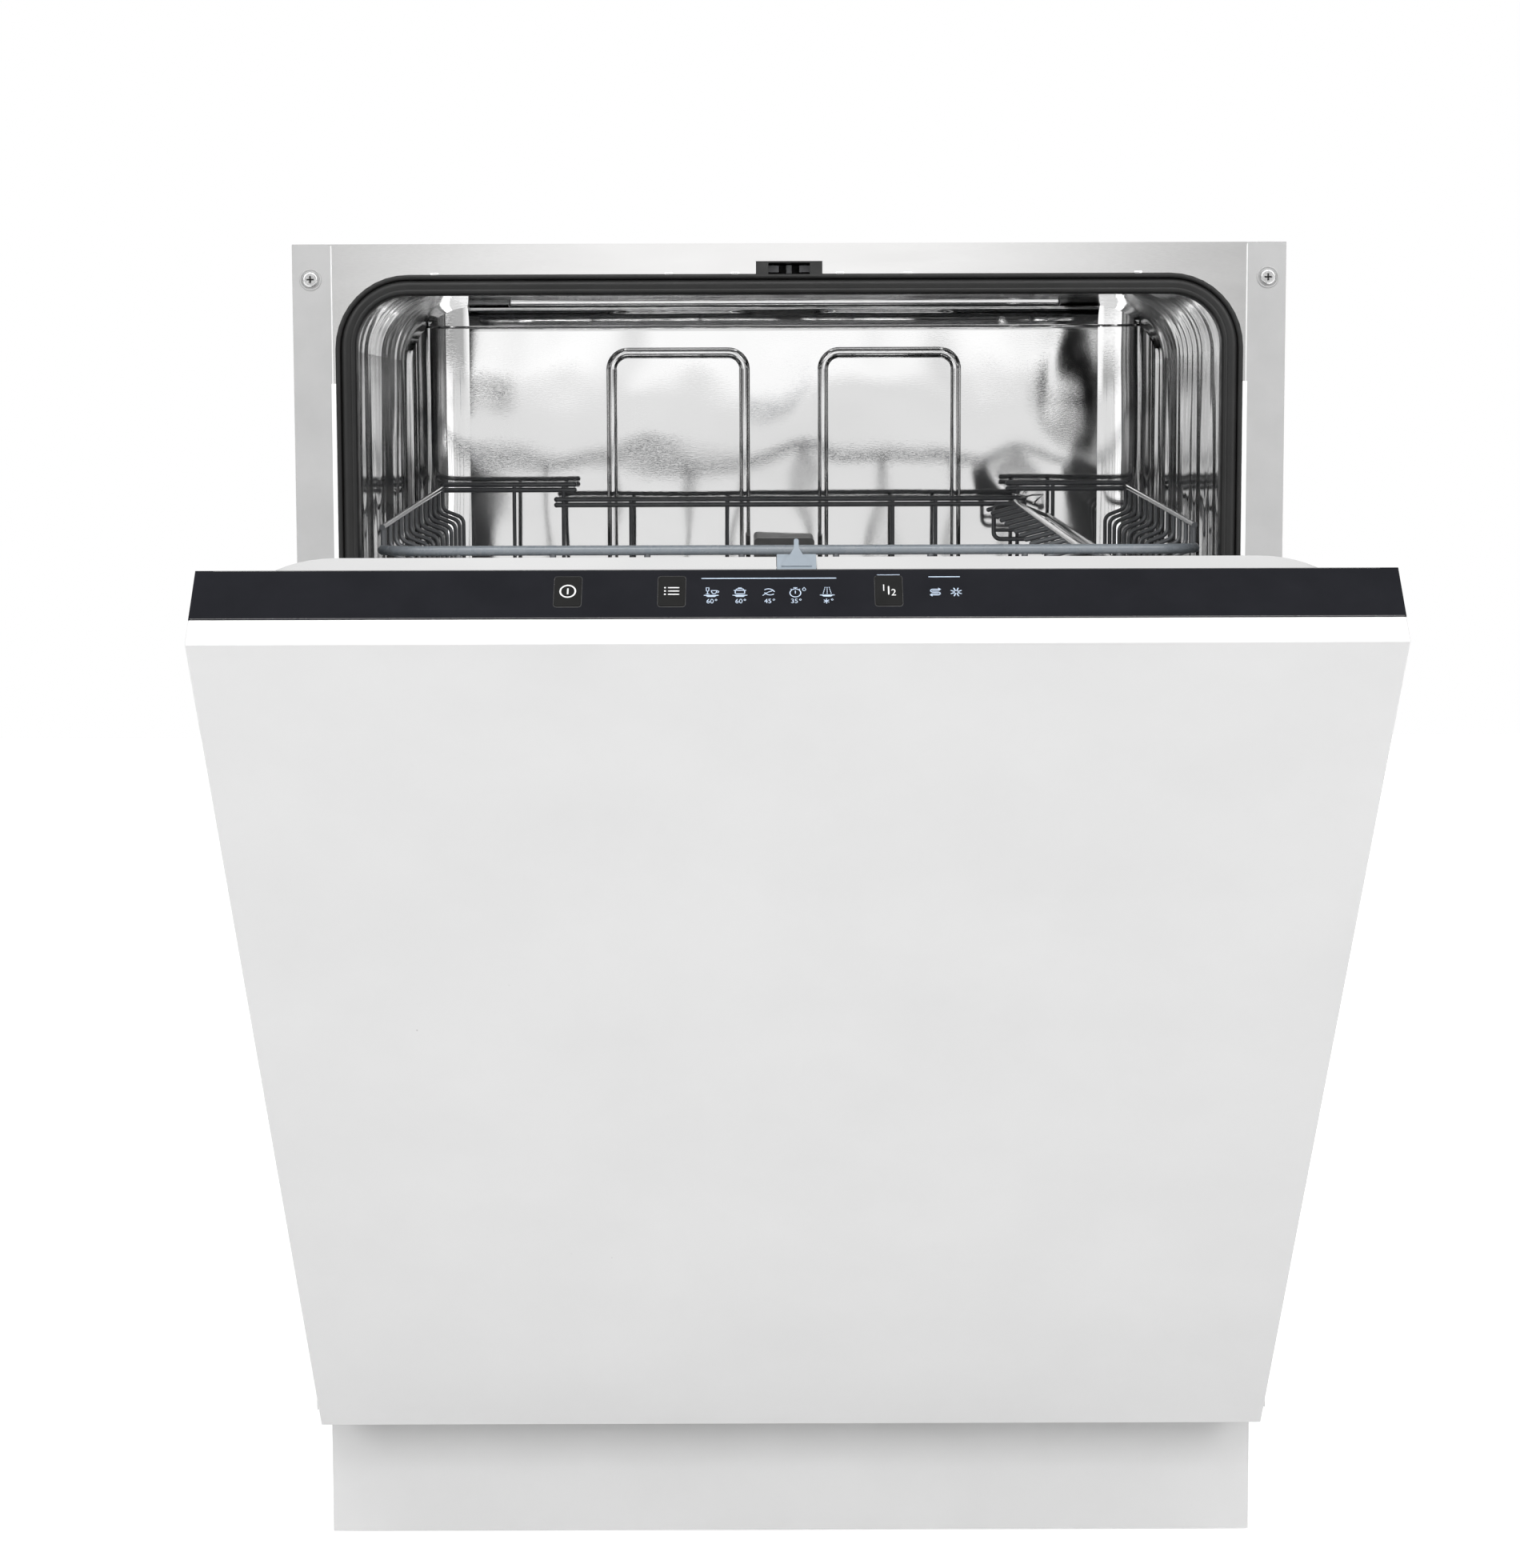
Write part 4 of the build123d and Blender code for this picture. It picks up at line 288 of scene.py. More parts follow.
class Form:
    """Faces gathered for one piece, written in millimetres."""

    def __init__(self):
        self.points = []
        self.faces = []

    def add(self, points, faces):
        start = len(self.points)
        self.points += [Vector(p) for p in points]
        self.faces += [[start + i for i in face] for face in faces]

    def tube(self, path, radius, sides=10, closed=False):
        """A round bar along a path, with capped ends unless it is closed."""
        path = [Vector(p) for p in path]
        count = len(path)
        rings = []
        side = None
        for i, p in enumerate(path):
            before = path[i - 1] if closed or i else p
            after = path[(i + 1) % count] if closed or i < count - 1 else p
            run = (after - before).normalized()
            if side is None:
                guide = Vector(UP) if abs(run.z) < 0.9 else Vector(ACROSS)
                side = run.cross(guide).normalized()
            side = (side - run * side.dot(run)).normalized()
            up = run.cross(side)
            rings.append([
                p + (side * math.cos(a) + up * math.sin(a)) * radius
                for a in (2 * math.pi * k / sides for k in range(sides))
            ])
        faces = []
        for i in range(count if closed else count - 1):
            j = (i + 1) % count
            for k in range(sides):
                m = (k + 1) % sides
                faces.append([i * sides + k, j * sides + k, j * sides + m, i * sides + m])
        if not closed:
            faces.append(list(range(sides)))
            faces.append([(count - 1) * sides + k for k in reversed(range(sides))])
        self.add([p for ring in rings for p in ring], faces)

    def ball(self, centre, radius, rows=8, sides=12):
        """A sphere of stacked rings, with a tiny ring at each pole."""
        centre = Vector(centre)
        steps = []
        for r in range(rows + 1):
            lift = math.pi * (r / rows - 0.5)
            middle = centre + Vector((0, 0, radius * math.sin(lift)))
            steps.append((middle, max(radius * math.cos(lift), radius * 0.02)))
        self.lathe(steps, UP, sides)

    def lathe(self, steps, axis, sides=20):
        """Rings of given radii round points on an axis."""
        axis = Vector(axis).normalized()
        guide = Vector(ACROSS) if abs(axis.x) < 0.9 else Vector(ALONG_Y)
        side = axis.cross(guide).normalized()
        up = axis.cross(side)
        points = []
        for centre, radius in steps:
            for k in range(sides):
                a = 2 * math.pi * k / sides
                points.append(Vector(centre) + (side * math.cos(a) + up * math.sin(a)) * radius)
        faces = []
        for i in range(len(steps) - 1):
            for k in range(sides):
                m = (k + 1) % sides
                faces.append([i * sides + k, i * sides + m, (i + 1) * sides + m, (i + 1) * sides + k])
        faces.append(list(reversed(range(sides))))
        faces.append([(len(steps) - 1) * sides + k for k in range(sides)])
        self.add(points, faces)

    def head(self, x, z, profile, sides):
        """A round head on an axis along y, from pairs of depth and radius."""
        self.lathe([((x, y, z), radius) for y, radius in profile], ALONG_Y, sides)

    def pad(self, low, high, soft):
        """A box with its edges taken off."""
        form = bmesh.new()
        bmesh.ops.create_cube(form, size=1)
        size = Vector(high) - Vector(low)
        middle = (Vector(high) + Vector(low)) / 2
        for v in form.verts:
            v.co = Vector((v.co.x * size.x, v.co.y * size.y, v.co.z * size.z)) + middle
        bmesh.ops.bevel(form, geom=form.edges[:], offset=soft, segments=2, affect="EDGES", profile=0.5)
        form.verts.index_update()
        self.add([v.co.copy() for v in form.verts], [[v.index for v in f.verts] for f in form.faces])
        form.free()

    def piece(self, name, finish_name, body, slot, matrix=None, smooth=True):
        """Makes the object, which rides on a body. The slot argument is not used."""
        mesh = bpy.data.meshes.new(name)
        place = matrix or Matrix.Identity(4)
        mesh.from_pydata(turned(place, self.points), [], self.faces)
        mesh.validate()
        mesh.update()
        for face in mesh.polygons:
            face.use_smooth = smooth
        mesh.materials.append(finish[finish_name])
        obj = bpy.data.objects.new(name, mesh)
        bpy.context.scene.collection.objects.link(obj)
        if smooth:
            mesh.set_sharp_from_angle(angle=SHARP_ANGLE)
        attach(obj, body)
        return obj


def arc_points(centre, first, second, start, end, steps=10):
    """Points on an arc that turns from one direction towards another about a centre."""
    first, second = Vector(first), Vector(second)
    return [Vector(centre) + first * math.cos(a) + second * math.sin(a)
            for a in (math.radians(start + (end - start) * k / steps) for k in range(steps + 1))]


def arch(left, right, y, foot, shoulder, radius, steps=10):
    """A path up one side, over rounded corners and down the other, in a plane across the front."""
    path = [(left, y, foot)]
    path += arc_points((left + radius, y, shoulder), (-radius, 0, 0), (0, 0, radius), 0, 90, steps)
    path += arc_points((right - radius, y, shoulder), (0, 0, radius), (radius, 0, 0), 0, 90, steps)
    return path + [(right, y, foot)]


class Print(Form):
    """Flat marks on the fascia: x across, y towards its back edge."""

    def __init__(self, height):
        super().__init__()
        self.height = height

    def at(self, centre):
        self.centre = centre
        return self

    def flat(self, outline):
        cx, cy = self.centre
        self.add([(cx + a, cy + b, self.height) for a, b in outline], [list(range(len(outline)))])

    def disc(self, a, b, r, sides=18):
        self.flat([(a + r * math.cos(2 * math.pi * k / sides), b + r * math.sin(2 * math.pi * k / sides))
                   for k in range(sides)])

    def line(self, points, width=0.5):
        for (a0, b0), (a1, b1) in zip(points, points[1:]):
            run = Vector((a1 - a0, b1 - b0))
            if run.length == 0:
                continue
            off = Vector((-run.y, run.x)).normalized() * width / 2
            self.flat([(a0 - off.x, b0 - off.y), (a1 - off.x, b1 - off.y), (a1 + off.x, b1 + off.y),
                       (a0 + off.x, b0 + off.y)])
        for a, b in points:
            self.disc(a, b, width / 2, 10)

    def arc(self, a, b, rx, ry, start, end, width=0.5, steps=24):
        turns = [math.radians(start + (end - start) * k / steps) for k in range(steps + 1)]
        inner = [(a + (rx - width / 2) * math.cos(t), b + (ry - width / 2) * math.sin(t)) for t in turns]
        outer = [(a + (rx + width / 2) * math.cos(t), b + (ry + width / 2) * math.sin(t)) for t in turns]
        for k in range(steps):
            self.flat([inner[k], outer[k], outer[k + 1], inner[k + 1]])

    def words(self, text, size, squeeze=0.8):
        """Plain numerals, centred here."""
        curve = bpy.data.curves.new("numeral", "FONT")
        curve.body = text
        curve.size = size
        curve.align_x = "CENTER"
        curve.align_y = "CENTER"
        holder = bpy.data.objects.new("numeral", curve)
        bpy.context.scene.collection.objects.link(holder)
        bpy.context.view_layer.update()
        drawn = holder.evaluated_get(bpy.context.evaluated_depsgraph_get()).to_mesh()
        cx, cy = self.centre
        self.add([(cx + v.co.x * squeeze, cy + v.co.y, self.height) for v in drawn.vertices],
                 [list(f.vertices) for f in drawn.polygons])
        bpy.data.objects.remove(holder)
        bpy.data.curves.remove(curve)


# Control panel, drawn as if the door were shut
FASCIA_TOP = 808.0
BUTTON_MARK = FASCIA_TOP + 0.45
BUTTON_Y = -28.5
POWER_X, PROGRAM_X, HALF_LOAD_X = -112.5, -61.5, 45
ICON_Y = -29.2
STATUS_Y = -29.4
DEGREES_Y = -35.4
ICONS = (-42.1, -28.0, -13.8, -0.8, 14.8)
DEGREES = ("60", "60", "45", "35")
marks = Print(FASCIA_TOP + 0.05)


def dish(ink):
    """The plate that three pictograms stand on."""
    ink.line([(-3.4, -2.0), (3.4, -2.0)], 0.55)
    ink.flat([(2.9, -2.1), (-2.9, -2.1), (-1.8, -3.1), (1.8, -3.1)])


def degree_ring(ink, x):
    """The small ring after a temperature."""
    ink.at((x, DEGREES_Y + 1.0)).arc(0, 0, 0.42, 0.5, 0, 360, 0.32, 14)


marks.at((0, -19.4)).line([(-46.8, 0), (19.2, 0)], 0.6)
marks.at((0, -17.2)).line([(39.6, 0), (50.6, 0)], 0.35)
marks.at((0, -18.7)).line([(65.1, 0), (80.1, 0)], 0.6)

marks.at((ICONS[0], ICON_Y))
dish(marks)
marks.line([(-2.5, 3.3), (-2.4, 1.3), (-1.8, 0.7), (-1.2, 1.3), (-1.1, 3.3), (-2.5, 3.3)], 0.4)
marks.line([(-1.8, 0.7), (-1.8, -0.9)], 0.4)
marks.line([(-2.5, -1.0), (-1.1, -1.0)], 0.4)
marks.line([(0.0, 1.3), (0.4, -0.3), (1.0, -0.8), (1.8, -0.8), (2.4, -0.3), (2.8, 1.3), (0.0, 1.3)], 0.45)
marks.arc(3.0, 0.5, 0.7, 0.6, -100, 100, 0.4, 12)

marks.at((ICONS[1], ICON_Y))
dish(marks)
marks.line([(-2.3, 1.4), (-2.3, -0.6), (-1.9, -1.0), (1.9, -1.0), (2.3, -0.6), (2.3, 1.4)], 0.5)
marks.line([(-2.9, 1.4), (2.9, 1.4)], 0.5)
marks.arc(0, 1.5, 2.0, 1.2, 0, 180, 0.45, 16)
marks.line([(-0.7, 3.1), (0.7, 3.1)], 0.5)

marks.at((ICONS[2], ICON_Y))
marks.arc(-0.2, -1.2, 3.2, 3.6, 25, 128, 0.5, 16)
marks.arc(0.6, 1.6, 3.2, 3.4, 212, 305, 0.5, 16)
marks.line([(-3.0, -2.2), (-0.6, 0.0), (1.6, 1.0)], 0.4)

marks.at((ICONS[3], ICON_Y))
marks.arc(0, -0.5, 2.65, 2.8, 0, 360, 0.5, 32)
marks.line([(0, -0.8), (0, 0.9)], 0.5)
marks.line([(-0.8, 3.1), (0.8, 3.1)], 0.5)
marks.line([(0, 2.2), (0, 3.0)], 0.4)
marks.line([(-2.2, 2.2), (-1.7, 1.7)], 0.45)
marks.line([(2.2, 2.2), (1.7, 1.7)], 0.45)
marks.line([(4.3, 3.4), (3.5, 2.1), (3.6, 1.4), (4.3, 1.0), (5.0, 1.4), (5.1, 2.1), (4.3, 3.4)], 0.35)

marks.at((ICONS[4], ICON_Y))
dish(marks)
for lean in (-1, 0, 1):
    for step in range(4):
        top = 3.4 - 1.25 * step
        wide = lean * (1.0 + 0.28 * step)
        marks.line([(wide, top), (wide + 0.12 * lean, top - 0.6)], 0.4)

for centre, degrees in zip(ICONS, DEGREES):
    marks.at((centre - 0.5, DEGREES_Y)).words(degrees, 4.3, 0.86)
    degree_ring(marks, centre + 2.4)
marks.at((14.4, DEGREES_Y))
for turn in (90, 30, 150):
    a = math.radians(turn)
    marks.line([(1.35 * math.cos(a), 1.5 * math.sin(a)), (-1.35 * math.cos(a), -1.5 * math.sin(a))], 0.45)
degree_ring(marks, 17.2)

marks.at((67.9, STATUS_Y))
marks.line([(2.4, 1.9), (-1.6, 1.9), (-2.3, 1.3), (-2.3, 0.6), (-1.6, 0.0),
            (1.6, 0.0), (2.3, -0.6), (2.3, -1.3), (1.6, -1.9), (-2.4, -1.9)], 0.6)
marks.line([(1.6, 2.7), (2.6, 1.9), (1.6, 1.1)], 0.45)
marks.line([(-1.6, -2.7), (-2.6, -1.9), (-1.6, -1.1)], 0.45)
marks.line([(-1.4, 0.95), (1.2, 0.95)], 0.4)
marks.line([(-1.2, -0.95), (1.4, -0.95)], 0.4)
marks.at((78.1, STATUS_Y))
for k in range(8):
    a = math.radians(22.5 + 45 * k)
    marks.line([(math.cos(a), math.sin(a)), (2.7 * math.cos(a), 2.9 * math.sin(a))], 0.6)
marks.piece("fascia_marks", "print_blue", "door", "black_fascia", ON_DOOR, smooth=False)

power = Print(BUTTON_MARK).at((POWER_X, BUTTON_Y))
power.arc(0, 0, 3.7, 4.1, 0, 360, 0.85, 40)
power.line([(0, -1.7), (0, 1.7)], 0.85)
power.piece("power_mark", "print_white", "power_button", "black_fascia", ON_DOOR, smooth=False)
listed = Print(BUTTON_MARK).at((PROGRAM_X, BUTTON_Y))
for row in (2.3, 0, -2.3):
    listed.line([(-1.5, row), (3.4, row)], 0.75)
    listed.disc(-3.3, row, 0.5)
listed.piece("program_mark", "print_white", "program_button", "black_fascia", ON_DOOR, smooth=False)
half = Print(BUTTON_MARK)
half.at((HALF_LOAD_X - 2.4, BUTTON_Y + 1.6)).words("1", 6.4)
half.at((HALF_LOAD_X, BUTTON_Y)).line([(0, -2.6), (0, 2.6)], 0.75)
half.at((HALF_LOAD_X + 2.4, BUTTON_Y - 1.6)).words("2", 6.4)
half.piece("half_load_mark", "print_white", "half_load_button", "black_fascia", ON_DOOR, smooth=False)

# Painted highlights: thin lighter lines along the fascia's front and back edges and round each button.
edge = Form()
edge.tube([(-296.3, -46.5, 807.8), (296.3, -46.5, 807.8)], 0.32, 8)
edge.tube([(-288, -13.3, 807.85), (288, -13.3, 807.85)], 0.25, 8)
for x in (POWER_X, PROGRAM_X, HALF_LOAD_X):
    outline = []
    for cx, cy, start in ((5.3, 9.05, 0), (-5.3, 9.05, 90), (-5.3, -9.05, 180), (5.3, -9.05, 270)):
        for turn in (0, 30, 60, 90):
            a = math.radians(start + turn)
            outline.append((x + cx + 1.5 * math.cos(a), BUTTON_Y + cy + 1.5 * math.sin(a), FASCIA_TOP))
    edge.tube(outline, 0.2, 6, closed=True)
edge.piece("fascia_edge_highlights", "edge_painted_highlight", "door", "black_fascia", ON_DOOR)


# Round the opening: the seal's inner lip, its clips, and dished rings under the strip screws
GASKET_FOOT = 236
lip = Form()
lip.tube(arch(-263.2, 263.2, 0.6, GASKET_FOOT, 755.7, 33), 2.1, 10)
lip.piece("gasket_lip", "black_rubber", "cabinet", "black_rubber")

flange = Form()
flange.tube(arch(-272.2, 272.2, 0.2, GASKET_FOOT, 754.3, 43), 1.6, 10)
flange.piece("gasket_flange", "black_rubber", "cabinet", "black_rubber")

# Painted highlight: pale lines and strips along the frame's edges beside the side strips stand in for the
# stainless edge catching light.
edge_highlight = Form()
for sign in (-1, 1):
    edge_highlight.tube([(sign * 275.5, -0.05, 734), (sign * 275.5, -0.05, 816)], 0.4, 8)
    low, high = sorted((sign * 273.0, sign * 276.4))
    edge_highlight.pad((low, -0.5, 262), (high, 0.4, 734), 0.3)
edge_highlight.piece("frame_edge_highlight", "frame_edge_painted_highlight", "cabinet", "stainless")

clips = Form()
for x in (-213.4, -72.4, -32.5, 30.6, 71.5, 210):
    clips.pad((x - 2.4, -0.9, 798.4), (x + 2.4, 0.3, 799.8), 0.45)
clips.piece("seal_clips", "screw_steel", "cabinet", "screw_steel")

SCREW_X, SCREW_Z = 288, 796
DISH_RADIUS = 6.1
rings = Form()
for x in (-SCREW_X, SCREW_X):
    ring = arc_points((x, -0.05, SCREW_Z), (DISH_RADIUS, 0, 0), (0, 0, DISH_RADIUS), 0, 345, 23)
    rings.tube(ring, 0.55, 8, closed=True)
rings.piece("screw_dishes", "strip_paint", "cabinet", "strip_paint")

# Painted shade: a dark cross laid on each screw head stands in for the shade in its recess.
cross_shade = Form()
for x in (-SCREW_X, SCREW_X):
    for wide, tall in ((2.1, 0.42), (0.42, 2.1)):
        cross_shade.pad((x - wide, -2.26, SCREW_Z - tall), (x + wide, -2.0, SCREW_Z + tall), 0.1)
cross_shade.piece("screw_cross_painted_shade", "painted_hole_shade_and_dark_lens", "cabinet", "screw_steel")

seam = Form()
path = [(-270.3, 20, 766), (-270.3, 240, 774)]
path += arc_points((-232, 445.2, 781), (-38.2, 0, 0), (0, 38.2, 0), 0, 90)
path += arc_points((232, 445.2, 781), (0, 38.2, 0), (38.2, 0, 0), 0, 90)
path += [(270.3, 240, 774), (270.3, 20, 766)]
seam.tube(path, 0.9, 8)
seam.piece("tub_seam", "tub_back_steel", "cabinet", "stainless")

pin = Form()
pin.pad((-1.7, 12, 799), (1.7, 21.5, 804.6), 0.4)
pin.piece("latch_pin", "pin_plastic", "cabinet", "black_plastic")

# Upper rack: round rail ends, the shelf's bright rod, its fingers, wire loop and spring
RACK_BACK = 455
STUB_RAILS = (666, 662)
MIDDLE_RAILS = (655, 651)
ends = Form()
for x, heights in ((-154, STUB_RAILS), (-167, MIDDLE_RAILS), (176, MIDDLE_RAILS), (164, STUB_RAILS)):
    for z in heights:
        ends.ball((x, RACK_BACK, z), 1.95)
for x in (-250, 250):
    ends.ball((x, RACK_BACK, 665), 2.5)
ends.piece("rack_rail_ends", "rack_coat", "upper_rack", "rack_coat")

# A tube over the front rail in a lighter grey-blue than the rack coat: painted sheen, light painted into
# its colour.
sheen_tube = Form()
path = arc_points((-231, 85, 631), (-25, 0, 0), (0, -25, 0), 0, 90)
path += arc_points((231, 85, 631), (0, -25, 0), (25, 0, 0), 0, 90)
sheen_tube.tube(path, 3.15, 14)
sheen_tube.piece("front_rail_painted_sheen", "rail_painted_sheen", "upper_rack", "rack_coat")

SHELF_X, SHELF_FRONT, SHELF_LENGTH, SHELF_Z = 177, 95, 350, 630
SHELF_MIDDLE = SHELF_FRONT + SHELF_LENGTH / 2
SHELF_SKEW, SHELF_RISE = 16, 22
FINGER_COUNT = 13


def shelf_place(y, across, drop):
    """A place on the shelf, across from its skewed pivot rod and below it."""
    x = SHELF_X + (SHELF_MIDDLE - y) * SHELF_SKEW / SHELF_LENGTH + across
    return (x, y, SHELF_Z + (y - SHELF_FRONT) * SHELF_RISE / SHELF_LENGTH - drop)


rods = Form()
rods.tube([shelf_place(97, 0, 0), shelf_place(443, 0, 0)], 2.75, 14)
rods.piece("shelf_rod", "bright_rod", "cup_shelf", "rack_coat")
fingers = Form()
for k in range(FINGER_COUNT):
    y = 97.4 + 345.2 * k / (FINGER_COUNT - 1)
    tip = shelf_place(y, -20, 5)
    fingers.tube([shelf_place(y, -1, 0.25), tip], 1.65, 12)
    fingers.ball(tip, 1.68)
fingers.piece("shelf_fingers", "shelf_coat", "cup_shelf", "rack_coat")
LOOP_Y = 428
loop = Form()
path = [(172, LOOP_Y, 651), (157, LOOP_Y, 651)]
path += arc_points((157, LOOP_Y, 646), (0, 0, 5), (-5, 0, 0), 0, 90, 6)
path += arc_points((157, LOOP_Y, 631), (-5, 0, 0), (0, 0, -5), 0, 90, 6)
path += [(186, LOOP_Y, 626)]
loop.tube(path, 1.7, 10)
loop.tube([(153, LOOP_Y, 632.5), (186, LOOP_Y, 632.5)], 1.4, 10)
loop.piece("shelf_loop", "rack_coat", "cup_shelf", "rack_coat")
spring = Form()
spring.tube([(166, 440, 658.7), (177.5, 440, 656.2), (175, 440, 661.1), (172.6, 440.5, 655.4),
             (181, 440.5, 657.6), (188.9, 440, 657.8), (185, 440, 654.8), (181.5, 440, 651.3)], 0.65, 8)
spring.piece("shelf_spring", "bright_rod", "upper_rack", "screw_steel")

# Door: liner screws, dispenser details
LINER_SCREW = ((-2.1, 3.4), (-1.5, 3.2), (-1.1, 2.0), (-1.0, 0.4))
WINDOW_X, WINDOW_Z = 45, 528
WINDOW_RING = ((7.2, 9), (8.2, 8.6), (8.5, 7.4), (8.1, 6.6))
WINDOW_LENS = ((7.4, 6.4), (8.3, 6.2), (8.9, 4.0), (9.0, 0.4))
heads = Form()
for x in (-282, 282):
    for z in (310, 430, 550, 670):
        heads.head(x, z, LINER_SCREW, 16)
heads.piece("liner_screws", "screw_steel", "door", "screw_steel", ON_DOOR)

lid = Form()
lid.pad((-64, 10.2, 478), (4, 12.0, 486), 0.8)
for z in (432, 438, 444):
    lid.pad((-50, 10.2, z), (-10, 11.2, z + 2), 0.4)
lid.piece("dispenser_lid_ribs", "grey_plastic", "dispenser_lid", "grey_plastic", ON_DOOR)
body = Form()
body.pad((-72, 6.9, 505), (72, 7.85, 512), 0.3)
body.head(WINDOW_X, WINDOW_Z, WINDOW_RING, 28)
body.pad((-60, 6.9, 522), (10, 7.85, 548), 0.3)
body.piece("dispenser_trim", "grey_plastic", "door", "grey_plastic", ON_DOOR)
lens = Form()
lens.head(WINDOW_X, WINDOW_Z, WINDOW_LENS, 28)
lens.piece("rinse_window", "painted_hole_shade_and_dark_lens", "door", "black_plastic", ON_DOOR)

# Spray arms: raised nozzles, each with a dark pad on top, painted shade for its mouth
NOZZLE_OUT = (52, 84, 118, 150, 184)
NOZZLE_OFFSET = 7
NOZZLE = ((-0.3, 4.4), (0.7, 3.6), (0.8, 2.4))
for arm, middle, z in (("lower_spray_arm", 235, 242), ("upper_spray_arm", 240, 484)):
    jets = Form()
    mouth_shade = Form()
    for k, out in enumerate(NOZZLE_OUT):
        for sign in (-1, 1):
            x = sign * out
            y = middle + sign * (NOZZLE_OFFSET if k % 2 else -NOZZLE_OFFSET)
            jets.lathe([((x, y, z + rise), radius) for rise, radius in NOZZLE], UP, 18)
            mouth_shade.pad((x - 1.9, y - 0.6, z + 0.4), (x + 1.9, y + 0.6, z + 1.0), 0.25)
    jets.piece(arm + "_jets", "grey_plastic", arm, "grey_plastic")
    mouth_shade.piece(arm + "_mouth_painted_shade", "painted_hole_shade_and_dark_lens", arm, "black_plastic")

# Filter plate: rows of small holes, drawn as flat dark discs of painted shade
PLATE_Y, FILTER_Y, ARM_Y = 265, 318, 235
FILTER_CLEAR, ARM_CLEAR = 46, 26
plate_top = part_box("filter_plate")[1][2] / MM
dots = Print(plate_top + 0.06).at((0, 0))
for row in range(7):
    radius = 48 + 7.2 * row
    count = int(radius * 0.78)
    for k in range(count):
        a = 2 * math.pi * (k + 0.5 * (row % 2)) / count
        x = radius * math.cos(a)
        y = PLATE_Y + radius * math.sin(a)
        if math.hypot(x, y - FILTER_Y) > FILTER_CLEAR and math.hypot(x, y - ARM_Y) > ARM_CLEAR:
            dots.disc(x, y, 1.5, 8)
dots.piece("filter_hole_painted_shade", "painted_hole_shade_and_dark_lens", "cabinet", "stainless", smooth=False)

# Lower rack: the basket's handle, and round tips on the tines
handle = Form()
handle.tube(arch(122, 210, 210, 380, 408, 14, 6), 3.2, 12)
handle.piece("basket_handle", "grey_plastic", "lower_rack", "grey_plastic")
TINE_COUNT = 12
for row, x in (("tine_row_left", -110), ("tine_row_right", 25)):
    tips = Form()
    for k in range(TINE_COUNT):
        tips.ball((x, 82 + 326 * k / (TINE_COUNT - 1), 332.5), 2.5)
    tips.piece(row + "_tips", "rack_coat", row, "rack_coat")

# Cabinet's outside: pressed ribs, screw heads, tape on the felt
SIDE_FACE = 299.0
RIB_FRONT, RIB_BACK, RIB_CORNER = 85, 445, 14
forward, back = (0, -RIB_CORNER, 0), (0, RIB_CORNER, 0)
down, up = (0, 0, -RIB_CORNER), (0, 0, RIB_CORNER)
ribs = Form()
for x in (-SIDE_FACE, SIDE_FACE):
    for foot, head in ((150, 440), (490, 770)):
        path = arc_points((x, RIB_FRONT, foot), forward, down, 0, 90, 6)
        path += arc_points((x, RIB_BACK, foot), down, back, 0, 90, 6)
        path += arc_points((x, RIB_BACK, head), back, up, 0, 90, 6)
        path += arc_points((x, RIB_FRONT, head), up, forward, 0, 90, 6)
        ribs.tube(path, 1.1, 8, closed=True)
for x in (-180, 0, 180):
    ribs.tube([(x, 502.4, 210), (x, 502.4, 740)], 2.0, 10)
ribs.piece("panel_ribs", "zinc_steel", "cabinet", "zinc_steel")
REAR_SCREW = ((502.9, 4.2), (503.8, 4.0), (504.6, 2.6), (504.8, 0.4))
heads = Form()
for x in (-286, 286):
    for z in (125, 300, 480, 660, 800):
        heads.head(x, z, REAR_SCREW, 18)
heads.piece("rear_screws", "screw_steel", "cabinet", "screw_steel")
tape = Form()
for y in (150, 260, 370):
    tape.pad((-226, y - 14, 802.8), (226, y + 14, 803.3), 0.2)
tape.piece("felt_tape", "zinc_steel", "cabinet", "zinc_steel")


# Camera, fitted to the photograph's edges
camera_data = bpy.data.cameras.new("camera")
camera = bpy.data.objects.new("camera", camera_data)
bpy.context.scene.collection.objects.link(camera)
camera.location = (-0.0185, -2.157, 0.706)
camera.rotation_euler = (math.radians(90 - 6.42), math.radians(0.17), math.radians(-0.019))
camera_data.lens = 81.4
camera_data.sensor_width = 36
camera_data.shift_y = 0.028
camera_data.clip_end = 50
bpy.context.scene.camera = camera

# Studio: a white room, a floor that keeps the shadow, and soft boxes
scene = bpy.context.scene
scene.view_settings.view_transform = "Standard"
world = bpy.data.worlds.new("studio")
scene.world = world
world.use_nodes = True
tree = world.node_tree
tree.nodes.clear()
seen = tree.nodes.new("ShaderNodeLightPath")
facing = tree.nodes.new("ShaderNodeSeparateXYZ")
wire(tree, tree.nodes.new("ShaderNodeTexCoord").outputs["Generated"], facing.inputs["Vector"])

# Metal mirrors a bright front, darker beside the middle, and a bright ceiling
ahead = map_range(tree, facing.outputs["Y"], -0.55, -0.95, 0.16, 1.0, smooth=True)
off_middle = maths(tree, "ABSOLUTE", facing.outputs["X"])
beside = map_range(tree, off_middle, 0.04, 0.16, 1.0, 0.42, smooth=True)
above = map_range(tree, facing.outputs["Z"], 0.25, 0.75, 0.0, 1.0, smooth=True)
mirror_strength = maths(tree, "MAXIMUM", maths(tree, "MULTIPLY", ahead, beside), above)


def backdrop(tree, strength):
    """White light of a given strength."""
    node = tree.nodes.new("ShaderNodeBackground")
    node.inputs["Color"].default_value = (1, 1, 1, 1)
    feed(tree, strength, node.inputs["Strength"])
    return node.outputs["Background"]


